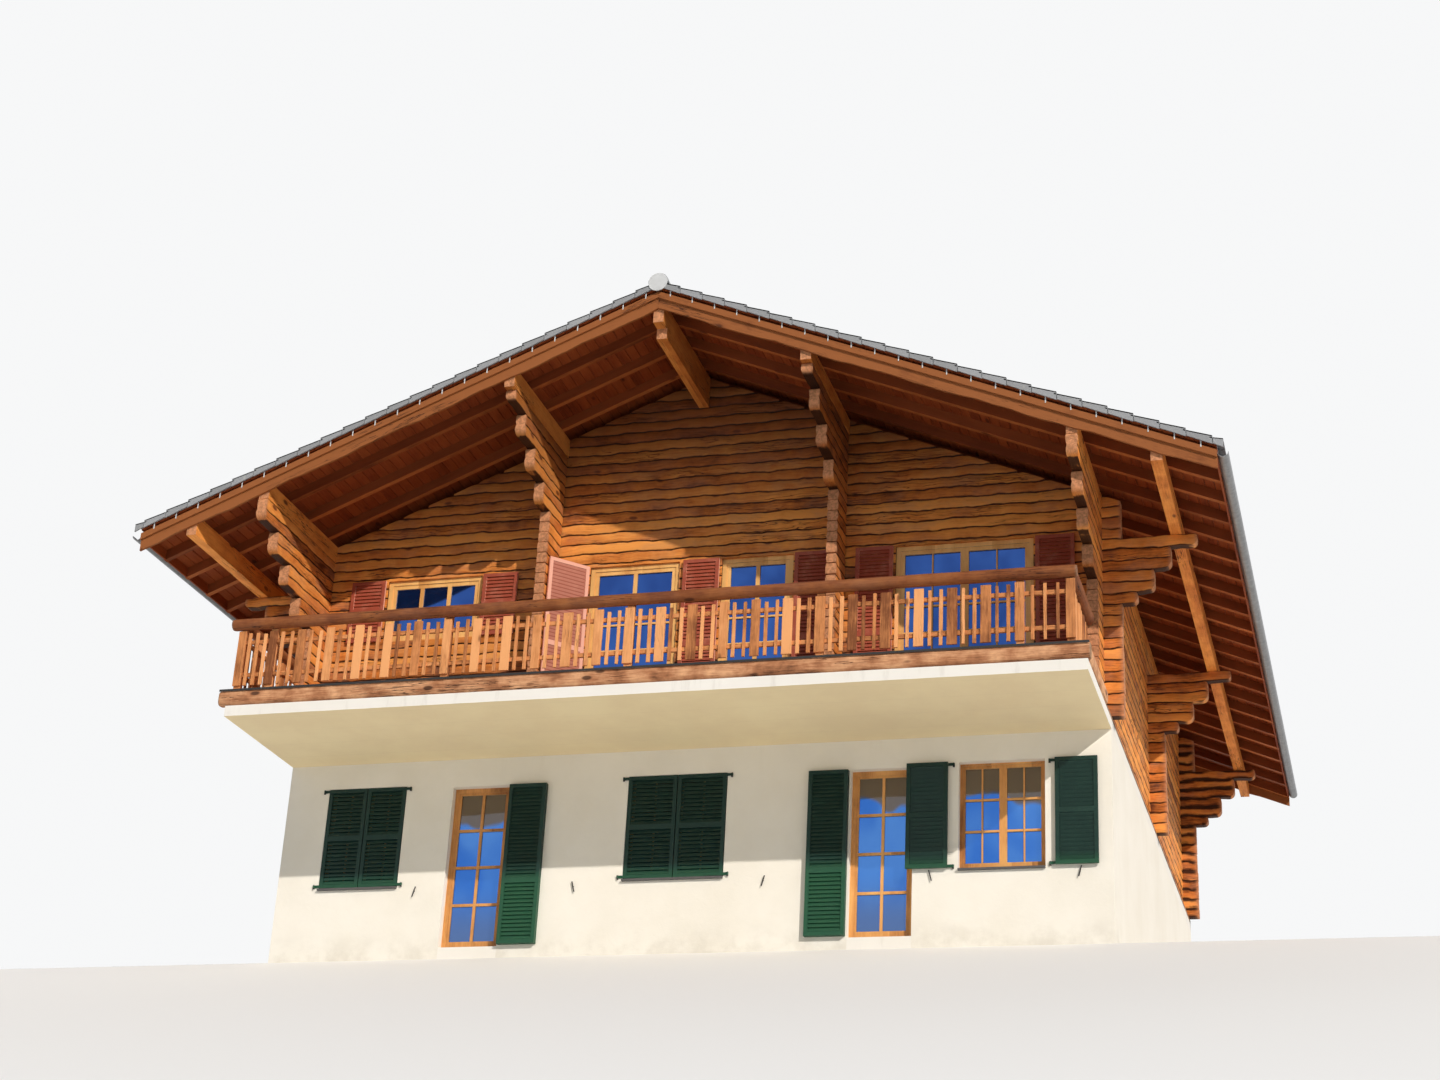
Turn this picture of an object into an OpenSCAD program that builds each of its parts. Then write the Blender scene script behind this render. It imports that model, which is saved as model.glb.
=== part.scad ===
// Alpine chalet: a rendered masonry storey under a storey of notched logs,
// with stepped log consoles that carry a wide low roof and a balcony across the front.
// Millimetres, +Z up, the front faces -Y, the origin is on the ground under the middle.

/* [Masonry storey] */
// Width of the masonry walls, outside
house_w = 11000; // [10700:50:11600]
// Depth of the masonry walls, outside
house_d = 9600; // [8600:50:11000]
// Height from the ground floor to the underside of the balcony slab
storey_h = 2530; // [2400:10:2900]
// Thickness of the masonry walls
wall_t = 350; // [250:5:450]
// Thickness of the ground floor
floor_t = 150; // [80:5:250]
// Thickness of the balcony slab
slab_t = 140; // [100:5:220]
// Reach of the balcony slab in front of the wall
balcony_d = 2050; // [1600:10:2150]

/* [Logs] */
// Height of one log course
log_h = 150; // [130:1:170]
// Thickness of a log at the middle of its rounded face
log_t = 160; // [140:1:180]
// Radius of a log's rounded face
log_face_r = 150; // [110:1:300]
// Distance from the masonry face in to the middle of the log wall
log_inset = 150; // [100:1:200]
// Reach of the log ends past the middle of the crossing wall
log_end = 310; // [240:5:400]
// Reach of the side walls' log ends in front of the middle of the front wall
log_end_front = 590; // [450:5:700]
// Place of the inner log walls, from the middle of the house
inner_x = 2000; // [1960:10:2120]
// Place of the cross wall, behind the front masonry face
cross_y = 5000; // [3500:10:6500]
// Rounding of the lower corner of each stepped log pair
step_r = 105; // [60:5:140]
// Rounding of the upper corner of each stepped log pair
step_top_r = 40; // [10:5:60]

/* [Roof] */
// Pitch of the roof in degrees
roof_pitch = 22.5; // [20:0.5:24]
// Height of the rafters' underside at the ridge, above the ground
rafter_ridge_z = 8140; // [7900:10:8500]
// Half of the roof's width, to the edge of the tiles
roof_half = 7140; // [6900:10:7400]
// Reach of the roof in front of the masonry face
front_over = 2200; // [2160:5:2500]
// Reach of the roof behind the rear masonry face
rear_over = 1300; // [1200:5:1700]
// Depth of a rafter, measured upright
rafter_d = 140; // [100:5:180]
// Width of a rafter
rafter_w = 80; // [60:5:110]
// Wanted distance from rafter to rafter
rafter_pitch = 600; // [500:10:800]
// Thickness of the boards on the rafters
board_t = 25; // [18:1:40]
// Thickness of the tiles with their battens
cover_t = 105; // [80:1:130]
// Length of a tile course along the roof's width
course_w = 305; // [260:1:360]
// Step from one tile course to the next
course_step = 28; // [15:1:40]
// Width of a purlin
purlin_w = 140; // [110:2:160]
// Place of the eave purlins, from the middle of the house
eave_x = 6350; // [6200:10:6450]
// Radius of the ridge tiles
ridge_r = 130; // [100:1:145]
// Inside radius of the gutters
gutter_r = 62; // [45:1:80]
// Height of the lower board at the verge
verge_h = 215; // [160:5:260]

/* [Ground storey openings] */
// Middle of the left window, from the left corner
left_window_in = 1150; // [900:10:1300]
// Width of the left window
left_window_w = 1120; // [900:10:1200]
// Middle of the middle window, from the middle of the house
mid_window_x = -35; // [-200:5:200]
// Width of the middle window
mid_window_w = 1330; // [1000:10:1500]
// Middle of the right window, from the right corner
right_window_in = 1355; // [1100:5:1400]
// Width of the right window
right_window_w = 1070; // [900:10:1150]
// Height of a window's sill above the floor
sill_h = 820; // [700:10:1000]
// Height of the ground storey windows
window_h = 1370; // [1100:10:1450]
// Middle of the left door, from the left corner
left_door_in = 2770; // [2600:10:2900]
// Middle of the right door, from the right corner
right_door_in = 2860; // [2700:10:3000]
// Width of a doorway
door_w = 800; // [760:10:860]
// Height of a doorway
door_h = 2150; // [2000:10:2250]
// Distance between the rear windows on both storeys
rear_pitch = 3600; // [3300:10:3800]
// Width of a rear window
rear_w = 1100; // [900:10:1300]

/* [Log storey openings] */
// Logs left between the left side wall and the small window
small_window_out = 920; // [800:10:1000]
// Logs left between the small window and the inner wall
small_window_in = 1040; // [900:10:1100]
// Logs left between the left inner wall and the second door
second_door_out = 530; // [450:10:600]
// Right side of the second door, from the middle of the house
second_door_right = -210; // [-250:10:-100]
// Left side of the third door, from the middle of the house
third_door_left = 380; // [360:10:500]
// Logs left between the third door and the right inner wall
third_door_out = 640; // [600:10:700]
// Logs left between the right inner wall and the wide door
wide_door_in = 740; // [640:10:800]
// Logs left between the wide door and the right side wall
wide_door_out = 810; // [640:10:850]
// Height of the openings' heads above the deck
head_h = 2500; // [2300:10:2600]
// Width of a flat upper shutter
upper_leaf_w = 500; // [400:10:520]
// Width of the half open upper shutter
half_leaf_w = 600; // [560:5:620]
// Height of the small window's sill above the deck
small_sill = 1600; // [1300:10:1700]
// Height of the rear windows' sills above the deck
rear_sill = 1150; // [900:10:1300]

/* [Joinery] */
// Width of the upper windows' fixed frames
frame_w = 60; // [50:1:80]
// Width of the ground storey windows' fixed frames, as far as they show
ground_frame_w = 25; // [20:1:45]
// Width of the door frames
door_frame_w = 40; // [38:1:60]
// Depth of the fixed frames
frame_d = 70; // [60:1:90]
// Distance from the wall's face back to a frame in the masonry
frame_set = 100; // [80:1:140]
// Width of an upper sash's stile
stile_w = 55; // [45:1:75]
// Width of a slim meeting stile upstairs
meet_w = 27; // [20:1:40]
// Width of a ground storey sash's stile
ground_stile_w = 40; // [35:1:55]
// Width of a meeting stile on the ground storey
ground_meet_w = 48; // [40:1:60]
// Height added to the foot of a ground storey sash
sash_foot = 30; // [10:1:50]
// Thickness of the glass units
glass_t = 20; // [12:1:28]
// Thickness of a door leaf
leaf_t = 56; // [45:1:60]
// Clearance round a door leaf
leaf_gap = 8; // [7:0.5:10]
// Turning radius of a hinge knuckle
knuckle_r = 6; // [5:0.5:7]

/* [Shutters] */
// Thickness of a shutter leaf
shutter_t = 35; // [30:1:45]
// Width of a shutter's stiles, top rail and bottom rail
shutter_rail = 50; // [45:1:70]
// Height of a shutter's middle rail
middle_rail = 70; // [50:1:90]
// Distance from louvre to louvre
louvre_pitch = 50; // [46:1:60]
// Depth of a louvre across its slope
louvre_d = 52; // [44:1:56]
// Thickness of a louvre
louvre_t = 9; // [6:0.5:10]
// Clearance round a shutter leaf in its opening
shutter_gap = 8; // [6:0.5:12]
// Distance from the opening's side to the pintle's pin
pintle_out = 60; // [45:1:80]
// Distance from the wall's face to the pin
pintle_off = 15; // [15:0.5:25]
// Radius of the pin
pin_r = 6; // [5:0.5:8]
// Radial clearance of a strap's eye on its pin
pin_gap = 0.5; // [0.3:0.1:1]

/* [Balustrade] */
// Height of the handrail's middle above the deck
rail_h = 1080; // [950:5:1150]
// Radius of the handrail
rail_r = 80; // [60:1:95]
// Reach of the handrail past the left corner
rail_past_left = 60; // [0:5:100]
// Distance from the right corner back to the handrail's end
rail_short_right = 120; // [60:5:160]
// Distance from the balcony's edge to the handrail's middle
rail_in = 50; // [40:5:100]
// Width of a broad board
plank_w = 110; // [90:1:130]
// Width of a thin slat
slat_w = 45; // [35:1:60]
// Thickness of boards and slats
plank_t = 25; // [18:1:32]
// Thickness of the posts and rails behind the boards
bar_t = 70; // [55:1:90]
// Height of the log on the balcony's edge
fascia_h = 210; // [170:5:240]
// Thickness of that log
fascia_t = 150; // [110:5:170]

/* [Hidden] */
$fn = 48;

timber = [0.78, 0.50, 0.24];
dark_timber = [0.45, 0.26, 0.14];
render_white = [0.93, 0.91, 0.84];
honey = [0.85, 0.55, 0.25];
pine = [0.92, 0.78, 0.50];
dark_green = [0.05, 0.16, 0.14];
red_brown = [0.36, 0.15, 0.10];
glass_blue = [0.25, 0.40, 0.60, 0.5];
iron = [0.15, 0.15, 0.16];
tile_grey = [0.45, 0.45, 0.46];

// Middles and widths of the openings, from left to right
window_x = [left_window_in - house_w / 2, mid_window_x, house_w / 2 - right_window_in];
window_w = [left_window_w, mid_window_w, right_window_w];
door_x = [left_door_in - house_w / 2, house_w / 2 - right_door_in];
rear_x = [for (i = [-1:1]) i * rear_pitch];

// Depths along Y
roof_l = front_over + house_d + rear_over;
front_y = front_over - roof_l / 2;
rear_y = front_y + house_d;
roof_y0 = -roof_l / 2;
roof_y1 = roof_l / 2;
front_axis = front_y + log_inset;
rear_axis = rear_y - log_inset;
side_axis = house_w / 2 - log_inset;
cross_axis = front_y + cross_y;
edge_y = front_y - balcony_d;

// Sides of the log storey's front openings: the small window, then the doors
upper_sides = [
  [small_window_out - side_axis, -inner_x - small_window_in],
  [second_door_out - inner_x, second_door_right],
  [third_door_left, inner_x - third_door_out],
  [inner_x + wide_door_in, side_axis - wide_door_out]
];
upper_x = [for (s = upper_sides) (s[0] + s[1]) / 2];
upper_w = [for (s = upper_sides) s[1] - s[0]];
upper_leaves = [3, 2, 2, 2];
upper_meet = [meet_w, meet_w, meet_w, stile_w];

// Heights
deck_t = 50;
slab_z = floor_t + storey_h;
deck_z = slab_z + slab_t;
log_z = deck_z + deck_t;
slope = tan(roof_pitch);
board_z = rafter_ridge_z + rafter_d;
cover_z = board_z + board_t;
tile_z = cover_z + cover_t;
roof_seat = 0.2;
function under_roof(x) = rafter_ridge_z - roof_seat - slope * abs(x);
// Whole courses that fit below a purlin of at least the given height
function courses_below(x, least) =
  floor((under_roof(abs(x) + purlin_w / 2) - log_z - least) / log_h);
purlin_least = 150;
ridge_courses = courses_below(0, 400);
mid_courses = courses_below(inner_x, purlin_least);
side_courses = courses_below(side_axis, purlin_least);
eave_courses = courses_below(eave_x, purlin_least);
all_courses = ceil((rafter_ridge_z - log_z) / log_h);

// Ends of roof pieces, from the front edge of the ridge caps back
cap_t = 12;
verge_lap = 38;
upper_verge_t = 30;
lower_verge_t = 35;
tiles_y0 = roof_y0 + cap_t;
tiles_y1 = roof_y1 - cap_t;
upper_verge_y = tiles_y0 + verge_lap;
lower_verge_y = upper_verge_y + upper_verge_t;
frame_y0 = lower_verge_y + lower_verge_t;
frame_y1 = -frame_y0;
tail_x = roof_half - 80;

// Carries a 2D shape in (y, z) from x0 to x1
module along_x(x0, x1) rotate([90, 0, 90]) translate([0, 0, x0]) linear_extrude(x1 - x0) children();

// Carries a 2D shape in (x, z) from y0 to y1
module along_y(y0, y1) translate([0, y1, 0]) rotate([90, 0, 0]) linear_extrude(y1 - y0) children();

// Section of one log, flat below and above, rounded on both faces, its middle at axis
module log_section(axis, k) {
  bulge = log_face_r - log_t / 2;
  translate([axis, log_z + k * log_h]) intersection() {
    translate([bulge, log_h / 2]) circle(log_face_r);
    translate([-bulge, log_h / 2]) circle(log_face_r);
    translate([-log_t / 2, 0]) square([log_t, log_h]);
  }
}

// Section of stacked logs from course k0 up to, but without, course k1
module log_stack(axis, k0, k1) for (k = [k0:k1 - 1]) log_section(axis, k);

// Rectangle between two places along a log and two heights
module block(x0, x1, z0, z1) translate([min(x0, x1), z0]) square([abs(x1 - x0), z1 - z0]);

// Outline of a stepped log end from its rounded tip at x0 back to x1, courses k0 to k1
module step_end(x0, x1, k0, k1) {
  z0 = log_z + k0 * log_h;
  z1 = log_z + k1 * log_h;
  dir = sign(x1 - x0);
  r = min(step_r, (z1 - z0) / 2);
  translate([x0 + dir * r, z0 + r]) circle(r);
  translate([x0 + dir * step_top_r, z1 - step_top_r]) circle(step_top_r);
  block(x0 + dir * r, x1, z0, z1 - step_top_r);
  block(x0 + dir * step_top_r, x1, z0 + r, z1);
  block(x0, x1, z0 + r, z1 - step_top_r);
}

// Notches that the logs crossing at axis pass through: courses first, first + 2, ...
module notches(axis, first, last) for (k = [first:2:last - 1])
  translate([axis - log_t / 2, log_z + k * log_h]) square([log_t, log_h]);

// Ground storey
sill_t = 25;

module wall_block(x0, x1, z0, z1) translate([x0, front_y, z0]) cube([x1 - x0, wall_t, z1 - z0]);

module window_hole(x, w, y0) translate([x - w / 2, y0 - 1, floor_t + sill_h - sill_t])
  cube([w, wall_t + 2, window_h + sill_t]);

jamb = [for (x = door_x) [x - door_w / 2, x + door_w / 2]];

module ground_floor() color("gray") union() {
  translate([wall_t - house_w / 2, front_y + wall_t, 0])
    cube([house_w - 2 * wall_t, house_d - 2 * wall_t, floor_t]);
  for (j = jamb) translate([j[0], front_y, 0]) cube([door_w, wall_t, floor_t]);
}

module front_wall_left() color(render_white) difference() {
  wall_block(-house_w / 2, jamb[0][0], 0, slab_z);
  window_hole(window_x[0], window_w[0], front_y);
}

module front_wall_middle() color(render_white) difference() {
  wall_block(jamb[0][1], jamb[1][0], 0, slab_z);
  window_hole(window_x[1], window_w[1], front_y);
}

module front_wall_right() color(render_white) difference() {
  wall_block(jamb[1][1], house_w / 2, 0, slab_z);
  window_hole(window_x[2], window_w[2], front_y);
}

module lintel(j) color(render_white) wall_block(j[0], j[1], floor_t + door_h, slab_z);
module lintel_left() lintel(jamb[0]);
module lintel_right() lintel(jamb[1]);

module side_wall(x) color(render_white)
  translate([x, front_y + wall_t, 0]) cube([wall_t, house_d - 2 * wall_t, slab_z]);
module left_wall() side_wall(-house_w / 2);
module right_wall() side_wall(house_w / 2 - wall_t);

module rear_wall() color(render_white) difference() {
  translate([-house_w / 2, rear_y - wall_t, 0]) cube([house_w, wall_t, slab_z]);
  for (x = rear_x) window_hole(x, rear_w, rear_y - wall_t);
}

// Sills stand 40 proud of the wall
sill_nose = 40;
module window_sills() color("dimgray") {
  z = floor_t + sill_h - sill_t;
  for (i = [0:len(window_x) - 1])
    translate([window_x[i] - window_w[i] / 2, front_y - sill_nose, z])
      cube([window_w[i], sill_nose + frame_set + frame_d, sill_t]);
  for (x = rear_x)
    translate([x - rear_w / 2, rear_y - frame_set - frame_d, z])
      cube([rear_w, sill_nose + frame_set + frame_d, sill_t]);
}

// Joinery

// Widths of the fixed frame, the outer stiles and one meeting stile, and the height
// added to the sashes' feet
function upper_joinery(meet) = [frame_w, stile_w, meet, 0];
ground_joinery = [ground_frame_w, ground_stile_w, ground_meet_w, sash_foot];

// Fixed frame with sashes, lower left corner at the origin, outside at y = 0
sash_step = 12;
module casement(w, h, leaves, joinery) difference() {
  frame = joinery[0];
  cube([w, frame_d, h]);
  translate([frame, -1, frame]) cube([w - 2 * frame, sash_step + 1, h - 2 * frame]);
  pane_holes(w, h, leaves, joinery, -1, frame_d + 2);
}

// The clear holes of the sashes, from y0 over the depth d
module pane_holes(w, h, leaves, joinery, y0, d) {
  edge = joinery[0] + joinery[1];
  between = 2 * joinery[2];
  foot = edge + joinery[3];
  pane_w = (w - 2 * edge - (leaves - 1) * between) / leaves;
  for (i = [0:leaves - 1])
    translate([edge + i * (pane_w + between), y0, foot]) cube([pane_w, d, h - edge - foot]);
}

module panes(w, h, leaves, joinery) pane_holes(w, h, leaves, joinery, frame_d / 2, glass_t);

// Places a front window's pieces, or a rear one's turned to face the rear
module at_front(x, w, z, back) translate([x - w / 2, front_y + back, z]) children();
module at_rear(x, w, z, back) translate([x + w / 2, rear_y - back, z]) rotate([0, 0, 180]) children();

ground_sill_z = floor_t + sill_h;
module ground_window_frames() color(honey) {
  for (i = [0:len(window_x) - 1]) at_front(window_x[i], window_w[i], ground_sill_z, frame_set)
    casement(window_w[i], window_h, 2, ground_joinery);
  for (x = rear_x) at_rear(x, rear_w, ground_sill_z, frame_set) casement(rear_w, window_h, 2, ground_joinery);
}

module ground_glass() color(glass_blue) {
  for (i = [0:len(window_x) - 1]) at_front(window_x[i], window_w[i], ground_sill_z, frame_set)
    panes(window_w[i], window_h, 2, ground_joinery);
  for (x = rear_x) at_rear(x, rear_w, ground_sill_z, frame_set) panes(rear_w, window_h, 2, ground_joinery);
}

// Doors: the leaf stands in the frame behind a thin stop and opens inwards
stop_w = 12;
stop_t = 6;
leaf_back = 12;
frame_lip = 2;
door_frame_d = leaf_back + leaf_t + frame_lip;
door_lip = door_frame_w + leaf_gap + stop_w;
axis_gap = 4;
axis_off = knuckle_r + 1;
hinge_out = door_w / 2 - door_frame_w - axis_gap;
leaf_w = door_w - 2 * (door_frame_w + leaf_gap);
foot_gap = 12;
leaf_h = door_h - door_frame_w - leaf_gap - foot_gap;
leaf_z = floor_t + foot_gap;
door_stile = 42;
door_foot = 85;
door_bar = 36;
door_rows = 4;
axis_y = front_y + frame_set + leaf_back + leaf_t + axis_off;
hinge_z = [0.12, 0.5, 0.88] * leaf_h;
knuckle_h = 45;
plate_l = 30;
plate_t = 4;

module door_frame(x, hinge_side) {
  translate([x - door_w / 2, front_y + frame_set, floor_t]) difference() {
    cube([door_w, door_frame_d, door_h]);
    translate([door_frame_w, stop_t, -1])
      cube([door_w - 2 * door_frame_w, door_frame_d, door_h - door_frame_w + 1]);
    translate([door_lip, -1, -1]) cube([door_w - 2 * door_lip, door_frame_d, door_h - door_lip + 1]);
  }
  for (z = hinge_z) translate([x + hinge_side * hinge_out, axis_y, leaf_z + z]) {
    cylinder(h = knuckle_h, r = knuckle_r);
    translate([hinge_side > 0 ? 0 : -plate_l - axis_gap, frame_lip - axis_off, 0])
      cube([plate_l + axis_gap, plate_t, knuckle_h]);
  }
}
module door_frames() color(honey) {
  door_frame(door_x[0], -1);
  door_frame(door_x[1], 1);
}

// Leaf with its hinge axis at the origin, reaching to +X, its inner face at y = -axis_off
module leaf_panes(grow) {
  pane_w = (leaf_w - 2 * door_stile - door_bar) / 2;
  pane_h = (leaf_h - door_stile - door_foot - (door_rows - 1) * door_bar) / door_rows;
  for (i = [0:1], j = [0:door_rows - 1])
    translate([axis_gap + door_stile + i * (pane_w + door_bar),
               -axis_off - leaf_t / 2 - glass_t / 2 - grow, door_foot + j * (pane_h + door_bar)])
      cube([pane_w, glass_t + 2 * grow, pane_h]);
}
module door_leaf() union() {
  difference() {
    translate([axis_gap, -axis_off - leaf_t, 0]) cube([leaf_w, leaf_t, leaf_h]);
    leaf_panes(leaf_t);
  }
  for (z = hinge_z) translate([0, 0, z + knuckle_h + 1]) {
    cylinder(h = knuckle_h, r = knuckle_r);
    translate([0, -axis_off, 0]) cube([plate_l, plate_t, knuckle_h]);
  }
}
// Puts a leaf drawn from its axis to +X on the left or the right jamb of its doorway
module at_door(i, side) translate([door_x[i] + side * hinge_out, axis_y, leaf_z])
  mirror([side > 0 ? 1 : 0, 0, 0]) children();
module door_left() color(honey) at_door(0, -1) door_leaf();
module door_left_glass() color(glass_blue) at_door(0, -1) leaf_panes(0);
module door_right() color(honey) at_door(1, 1) door_leaf();
module door_right_glass() color(glass_blue) at_door(1, 1) leaf_panes(0);

// Shutters

// Louvred leaf, lower left corner at the origin, outside at y = 0. The lower panel takes
// the given share of the louvred height, and the middle rail lies above it.
louvre_in = 5;
louvre_angle = 70;
module louvred(w, h, share = 0.5) {
  louvred_h = h - 2 * shutter_rail - middle_rail;
  panel_z = [shutter_rail, shutter_rail + middle_rail + share * louvred_h];
  panel_h = [share * louvred_h, (1 - share) * louvred_h];
  difference() {
    cube([w, shutter_t, h]);
    for (j = [0:1]) translate([shutter_rail, -1, panel_z[j]])
      cube([w - 2 * shutter_rail, shutter_t + 2, panel_h[j]]);
  }
  for (j = [0:1]) {
    count = floor(panel_h[j] / louvre_pitch);
    for (i = [0:count - 1])
      translate([shutter_rail - louvre_in, shutter_t / 2, panel_z[j] + (i + 0.5) * panel_h[j] / count])
        rotate([louvre_angle, 0, 0]) translate([0, -louvre_d / 2, -louvre_t / 2])
          cube([w - 2 * (shutter_rail - louvre_in), louvre_d, louvre_t]);
  }
}

// Swinging leaf from its pin: closed, it reaches to +X with its outside near the wall's face
strap_l = 300;
strap_h = 36;
strap_t = 6;
face_out = 6;
eye_r = pin_r + 7;
reach = pintle_out + shutter_gap;
strap_z = [shutter_rail / 2 - strap_h / 2, window_h - 2 * shutter_gap - shutter_rail / 2 - strap_h / 2];
function swing_w(i) = window_w[i] / 2 - shutter_gap - 6;
module swing_leaf(w) {
  face_y = pintle_off - face_out;
  translate([reach, face_y, 0]) louvred(w, window_h - 2 * shutter_gap);
  for (z = strap_z) translate([0, 0, z]) difference() {
    union() {
      translate([0, face_y - strap_t, 0]) cube([strap_l, strap_t, strap_h]);
      cylinder(h = strap_h, r = eye_r);
    }
    translate([0, 0, -1]) cylinder(h = strap_h + 2, r = pin_r + pin_gap);
  }
}
// side -1 hangs on the left of window i, +1 on its right; open turns it back on the wall
module at_window(i, side, open)
  translate([window_x[i] + side * (window_w[i] / 2 + pintle_out), front_y - pintle_off,
             ground_sill_z + shutter_gap])
    mirror([side > 0 ? 1 : 0, 0, 0]) rotate([0, 0, open ? 180 : 0]) children();
module shutter_1_left() color(dark_green) at_window(0, -1, false) swing_leaf(swing_w(0));
module shutter_1_right() color(dark_green) at_window(0, 1, false) swing_leaf(swing_w(0));
module shutter_2_left() color(dark_green) at_window(1, -1, false) swing_leaf(swing_w(1));
module shutter_2_right() color(dark_green) at_window(1, 1, false) swing_leaf(swing_w(1));
module shutter_3_left() color(dark_green) at_window(2, -1, true) swing_leaf(swing_w(2));
module shutter_3_right() color(dark_green) at_window(2, 1, true) swing_leaf(swing_w(2));

// Pintles: an arm out of the wall with a pin up through each strap's eye
arm_h = 14;
module shutter_pintles() color(iron)
  for (i = [0:len(window_x) - 1], side = [-1, 1], z = strap_z) at_window(i, side, false)
    translate([0, 0, z]) {
      translate([0, 0, -arm_h - 1]) cylinder(h = strap_h + arm_h + 6, r = pin_r);
      translate([-pin_r, 0, -arm_h - 1]) cube([2 * pin_r, pintle_off, arm_h]);
      translate([0, 0, -arm_h - 1]) cylinder(h = arm_h, r = eye_r);
    }

// Folded pairs beside the doors, packed flat against the wall
fold_gap = 4;
fold_w = 510;
fold_share = 0.38;
module door_shutters() color(dark_green) for (i = [0:1]) {
  side = i == 0 ? 1 : -1;
  x0 = door_x[i] + side * (door_w / 2 + 20) - (side > 0 ? 0 : fold_w);
  for (leaf = [0:1])
    translate([x0, front_y - (leaf + 1) * (shutter_t + fold_gap) + fold_gap, floor_t + 15])
      louvred(fold_w, door_h - 30, fold_share);
  // pins that hold the two folded leaves together
  for (z = [0.15, 0.85]) translate([x0 + (side > 0 ? fold_w - 8 : 8), front_y, floor_t + z * door_h])
    rotate([90, 0, 0]) cylinder(h = 2 * shutter_t + fold_gap, r = 7);
}

// Balcony

module balcony_slab() color(render_white)
  translate([-house_w / 2, edge_y, slab_z]) cube([house_w, balcony_d + house_d, slab_t]);

edge_out = 30;
edge_in = fascia_t - edge_out;
log_end_y = front_axis - log_end_front;
module deck() color(timber) translate([0, 0, deck_z]) linear_extrude(deck_t) polygon([
  [-house_w / 2 + edge_in, edge_y + edge_in], [house_w / 2 - edge_in, edge_y + edge_in],
  [house_w / 2 - edge_in, log_end_y], [house_w / 2, log_end_y], [house_w / 2, rear_y],
  [-house_w / 2, rear_y], [-house_w / 2, log_end_y], [-house_w / 2 + edge_in, log_end_y]
]);

// Rounded log, its section from (u, z) = (0, 0) to (fascia_t, fascia_h)
module edge_section() intersection() {
  square([fascia_t, fascia_h]);
  translate([fascia_t / 2, fascia_h / 2]) circle(fascia_h * 0.56);
}
edge_past = 100;
module edge_logs() color(dark_timber) {
  along_x(-house_w / 2 - edge_past, house_w / 2 + edge_out)
    translate([edge_y - edge_out, deck_z]) edge_section();
  for (side = [-1, 1]) along_y(edge_y + edge_in, log_end_y)
    translate([side > 0 ? house_w / 2 - edge_in : -house_w / 2 - edge_out, deck_z]) edge_section();
}

// Balustrade
rail_left = -house_w / 2 - rail_past_left;
rail_right = house_w / 2 - rail_short_right;
rail_y = edge_y + rail_in;
rail_z = log_z + rail_h;
post_y = rail_y + plank_t;
board_z0 = deck_z + fascia_h + 80;
board_z1 = rail_z - rail_r - 10;
post_left = rail_left + 140;
post_right = rail_right - rail_r;
module handrail() color(dark_timber) {
  translate([rail_left, rail_y, rail_z]) rotate([0, 90, 0])
    cylinder(h = rail_right - rail_left, r = rail_r);
  for (x = [post_left, post_right]) translate([x, rail_y, rail_z]) rotate([-90, 0, 0])
    cylinder(h = log_end_y - rail_y, r = rail_r);
}
module under_handrail() difference() {
  children();
  handrail();
}
// The narrow end bays have three slats, the others two between broad boards
end_bay = 580;
first_plank = rail_left + end_bay;
last_plank = rail_right - end_bay - 100;
plank_pitch = 405;
bays = round((last_plank - first_plank) / plank_pitch);
bay = (last_plank - first_plank) / bays;
bays_per_post = 6;
post_w = plank_w - 20;
post_x = concat([post_left], [for (i = [0:bays_per_post:bays]) first_plank + i * bay], [post_right]);
module post_blocks(z0) for (x = post_x) translate([x - post_w / 2, post_y, z0])
  cube([post_w, bar_t, rail_z - z0]);
module balustrade_posts() color(timber) difference() {
  post_blocks(log_z);
  handrail();
  edge_logs();
}

// Boards and slats stand in front of two thin bars that run from post to post
bar_h = 55;
bar_d = 35;
bar_z = [for (f = [0.2, 0.8]) board_z0 + f * (board_z1 - board_z0) - bar_h / 2];
slat_short = 30;
module plank(u) translate([u - plank_w / 2, 0, board_z0]) cube([plank_w, plank_t, board_z1 - board_z0]);
module slat(u) translate([u - slat_w / 2, 0, board_z0])
  cube([slat_w, plank_t, board_z1 - board_z0 - slat_short]);
module bars(u0, u1) for (z = bar_z) translate([u0, plank_t, z]) cube([u1 - u0, bar_d, bar_h]);
module front_panel() {
  left = post_left - post_w / 2;
  right = post_right + post_w / 2;
  difference() {
    translate([0, rail_y, 0]) bars(left, right);
    post_blocks(log_z);
  }
  translate([0, rail_y, 0]) {
    for (i = [0:bays]) plank(first_plank + i * bay);
    for (i = [0:bays - 1], s = [1, 2]) slat(first_plank + (i + s / 3) * bay);
    for (e = [[post_left, first_plank], [last_plank, post_right]], s = [1:3])
      slat(e[0] + s / 4 * (e[1] - e[0]));
    for (u = [post_left, post_right]) plank(u);
  }
}
// The side returns run from the corner post back to the log ends
side_planks = 3;
module side_panel(side) {
  y0 = post_y + bar_t + 2;
  run = log_end_y - y0;
  translate([side > 0 ? post_right : post_left, y0, 0])
    multmatrix([[0, -side, 0, 0], [1, 0, 0, 0], [0, 0, 1, 0], [0, 0, 0, 1]]) {
      bars(0, run);
      for (i = [1:side_planks]) plank(i * run / (side_planks + 1));
      for (i = [0:side_planks], s = [1, 2]) slat((i + s / 3) * run / (side_planks + 1));
    }
}
module balustrade_boards() color(timber) under_handrail() {
  front_panel();
  for (side = [-1, 1]) side_panel(side);
}

// Log storey

module opening(x, w, z0, z1) translate([x - w / 2, z0]) square([w, z1 - z0]);
threshold = 70;
upper_z0 = [for (i = [0:len(upper_x) - 1]) log_z + (i == 0 ? small_sill : threshold)];
upper_z1 = log_z + head_h;

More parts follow.
